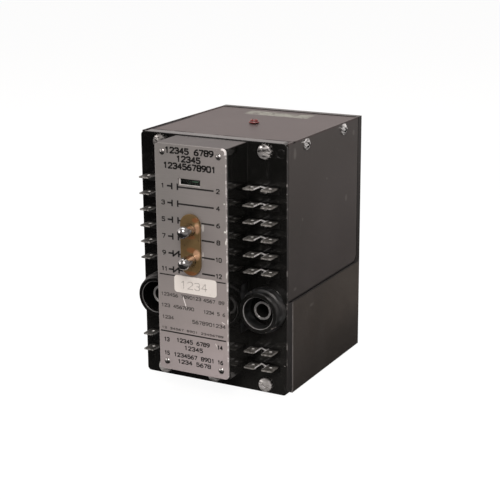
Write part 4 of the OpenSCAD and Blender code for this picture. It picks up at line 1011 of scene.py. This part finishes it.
def pin_spring(name, node, z):
    """A coil spring with closed ends, from the front wall to the pin's collar."""
    bm = bmesh.new()
    radius, wire, first, last, turns, steps, sides = 4.35, 0.35, -21.25, -12.05, 6, 24, 8
    # The share of the wire that lies in each closed end
    closed = 0.13
    rings = []
    for i in range(turns * steps + 1):
        u = i / (turns * steps)
        climb = min(1.0, max(0.0, (u - closed) / (1 - 2 * closed)))
        ends = (min(u, closed) + max(0.0, u - 1 + closed)) / closed
        y = first + wire * (1 + ends) + (last - first - 4 * wire) * climb
        a = 2 * math.pi * turns * u
        ring = []
        for k in range(sides):
            b = 2 * math.pi * k / sides
            q = radius + wire * math.cos(b)
            ring.append(bm.verts.new(at(q * math.cos(a), y + wire * math.sin(b), z + q * math.sin(a))))
        rings.append(ring)
    for ring, following in zip(rings, rings[1:]):
        join(bm, ring, following)
    bm.faces.new(rings[0])
    bm.faces.new(rings[-1])
    ob = new_piece(name, bm, MATERIALS["spring_steel"], None, True)
    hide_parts(node)
    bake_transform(ob)


pin_spring("operate_spring_coil", "operate_pin_spring", 101.6)
pin_spring("reset_spring_coil", "reset_pin_spring", 83.4)
nameplate_print()
nameplate_fine_print()
tag_digits()
terminal_tabs()
toothed_washers()
seal_wax()


# Studio

WARM = (1.0, 0.94, 0.91)


def look(ob, eye, target, roll=0.0):
    """Place a camera or a light at eye, aimed at target."""
    forward = (Vector(target) - Vector(eye)).normalized()
    right = forward.cross(Vector((0, 0, 1))).normalized()
    up = right.cross(forward)
    c, s = math.cos(roll), math.sin(roll)
    right, up = right * c + up * s, up * c - right * s
    ob.matrix_world = Matrix((
        (right.x, up.x, -forward.x, eye[0]),
        (right.y, up.y, -forward.y, eye[1]),
        (right.z, up.z, -forward.z, eye[2]),
        (0, 0, 0, 1)))


def camera():
    """The photo's view, fitted to its features: a focal length of 1271.5 pixels for a width of 500."""
    data = bpy.data.cameras.new("camera")
    ob = bpy.data.objects.new("camera", data)
    bpy.context.scene.collection.objects.link(ob)
    focal, width = 1271.5, 500
    data.sensor_width = 36
    data.sensor_fit = "HORIZONTAL"
    data.lens = focal / width * data.sensor_width
    data.clip_start = 0.01
    data.clip_end = 50
    look(ob, at(358.35, -619.68, 286.38), at(10.95, 24.62, 78.18), math.radians(-0.4341))
    bpy.context.scene.camera = ob


def light(name, eye, target, size, power):
    """A square soft light."""
    data = bpy.data.lights.new(name, "AREA")
    data.shape = "RECTANGLE"
    data.size = size
    data.size_y = size
    data.energy = power
    data.color = WARM
    ob = bpy.data.objects.new(name, data)
    bpy.context.scene.collection.objects.link(ob)
    look(ob, eye, target)


def world():
    """Dim grey to light by; white behind the object, where the camera and reflections look past it."""
    w = bpy.data.worlds.new("studio")
    bpy.context.scene.world = w
    t = Nodes(w, "OutputWorld")
    rays = t.node("LightPath").outputs
    x, y, _ = t.split(t.node("TexCoord").outputs["Generated"])
    # How far a direction points away from the camera's side
    away = t.math("ADD", t.product(y, 0.88), t.product(x, -0.47))
    level = t.product(
        t.step(away, -0.35, 0.45, 0.10, 0.82), t.most(rays["Is Glossy Ray"], rays["Is Transmission Ray"]))
    level = t.most(level, rays["Is Camera Ray"], 0.30)
    tint = t.mix(rays["Is Camera Ray"], (1.0, 0.92, 0.89), (1.0, 1.0, 1.0))
    t.put(t.surface, t.shader("Background", Color=tint, Strength=level))


def floor():
    """A white floor. In reflections it is dark before the face and paler to the right."""
    bm = bmesh.new()
    bmesh.ops.create_grid(bm, x_segments=8, y_segments=8, size=6.0)
    me = bpy.data.meshes.new("floor")
    bm.to_mesh(me)
    bm.free()
    ob = bpy.data.objects.new("floor", me)
    ob.location = (0, 0, -0.0002)
    bpy.context.scene.collection.objects.link(ob)
    m = bpy.data.materials.new("floor_white")
    t = Nodes(m, "OutputMaterial")
    rays = t.node("LightPath").outputs
    x, _, _ = t.split(t.node("TexCoord").outputs["Object"])
    diffuse = t.shader("BsdfDiffuse", Color=(0.8, 0.8, 0.8))
    glow = t.shader("Emission", Color=(1.0, 1.0, 1.0), Strength=1.1)
    white = t.choose(t.product(rays["Is Camera Ray"], 0.85), diffuse, glow)
    reflected = t.shader("Emission", Color=WARM, Strength=t.step(x, 0.0, 0.5, 0.03, 0.5))
    t.put(t.surface, t.choose(rays["Is Glossy Ray"], white, reflected))
    me.materials.append(m)


camera()
world()
floor()
light("key", (0.45, -0.95, 0.95), (0, 0, 0.08), 0.5, 9.0)
light("overhead", (-0.1, 0.15, 1.1), (0, 0, 0.1), 0.8, 7.0)
light("fill", (-0.9, -0.7, 0.35), (0, 0, 0.08), 0.6, 2.5)

bpy.context.scene.view_settings.view_transform = "Standard"
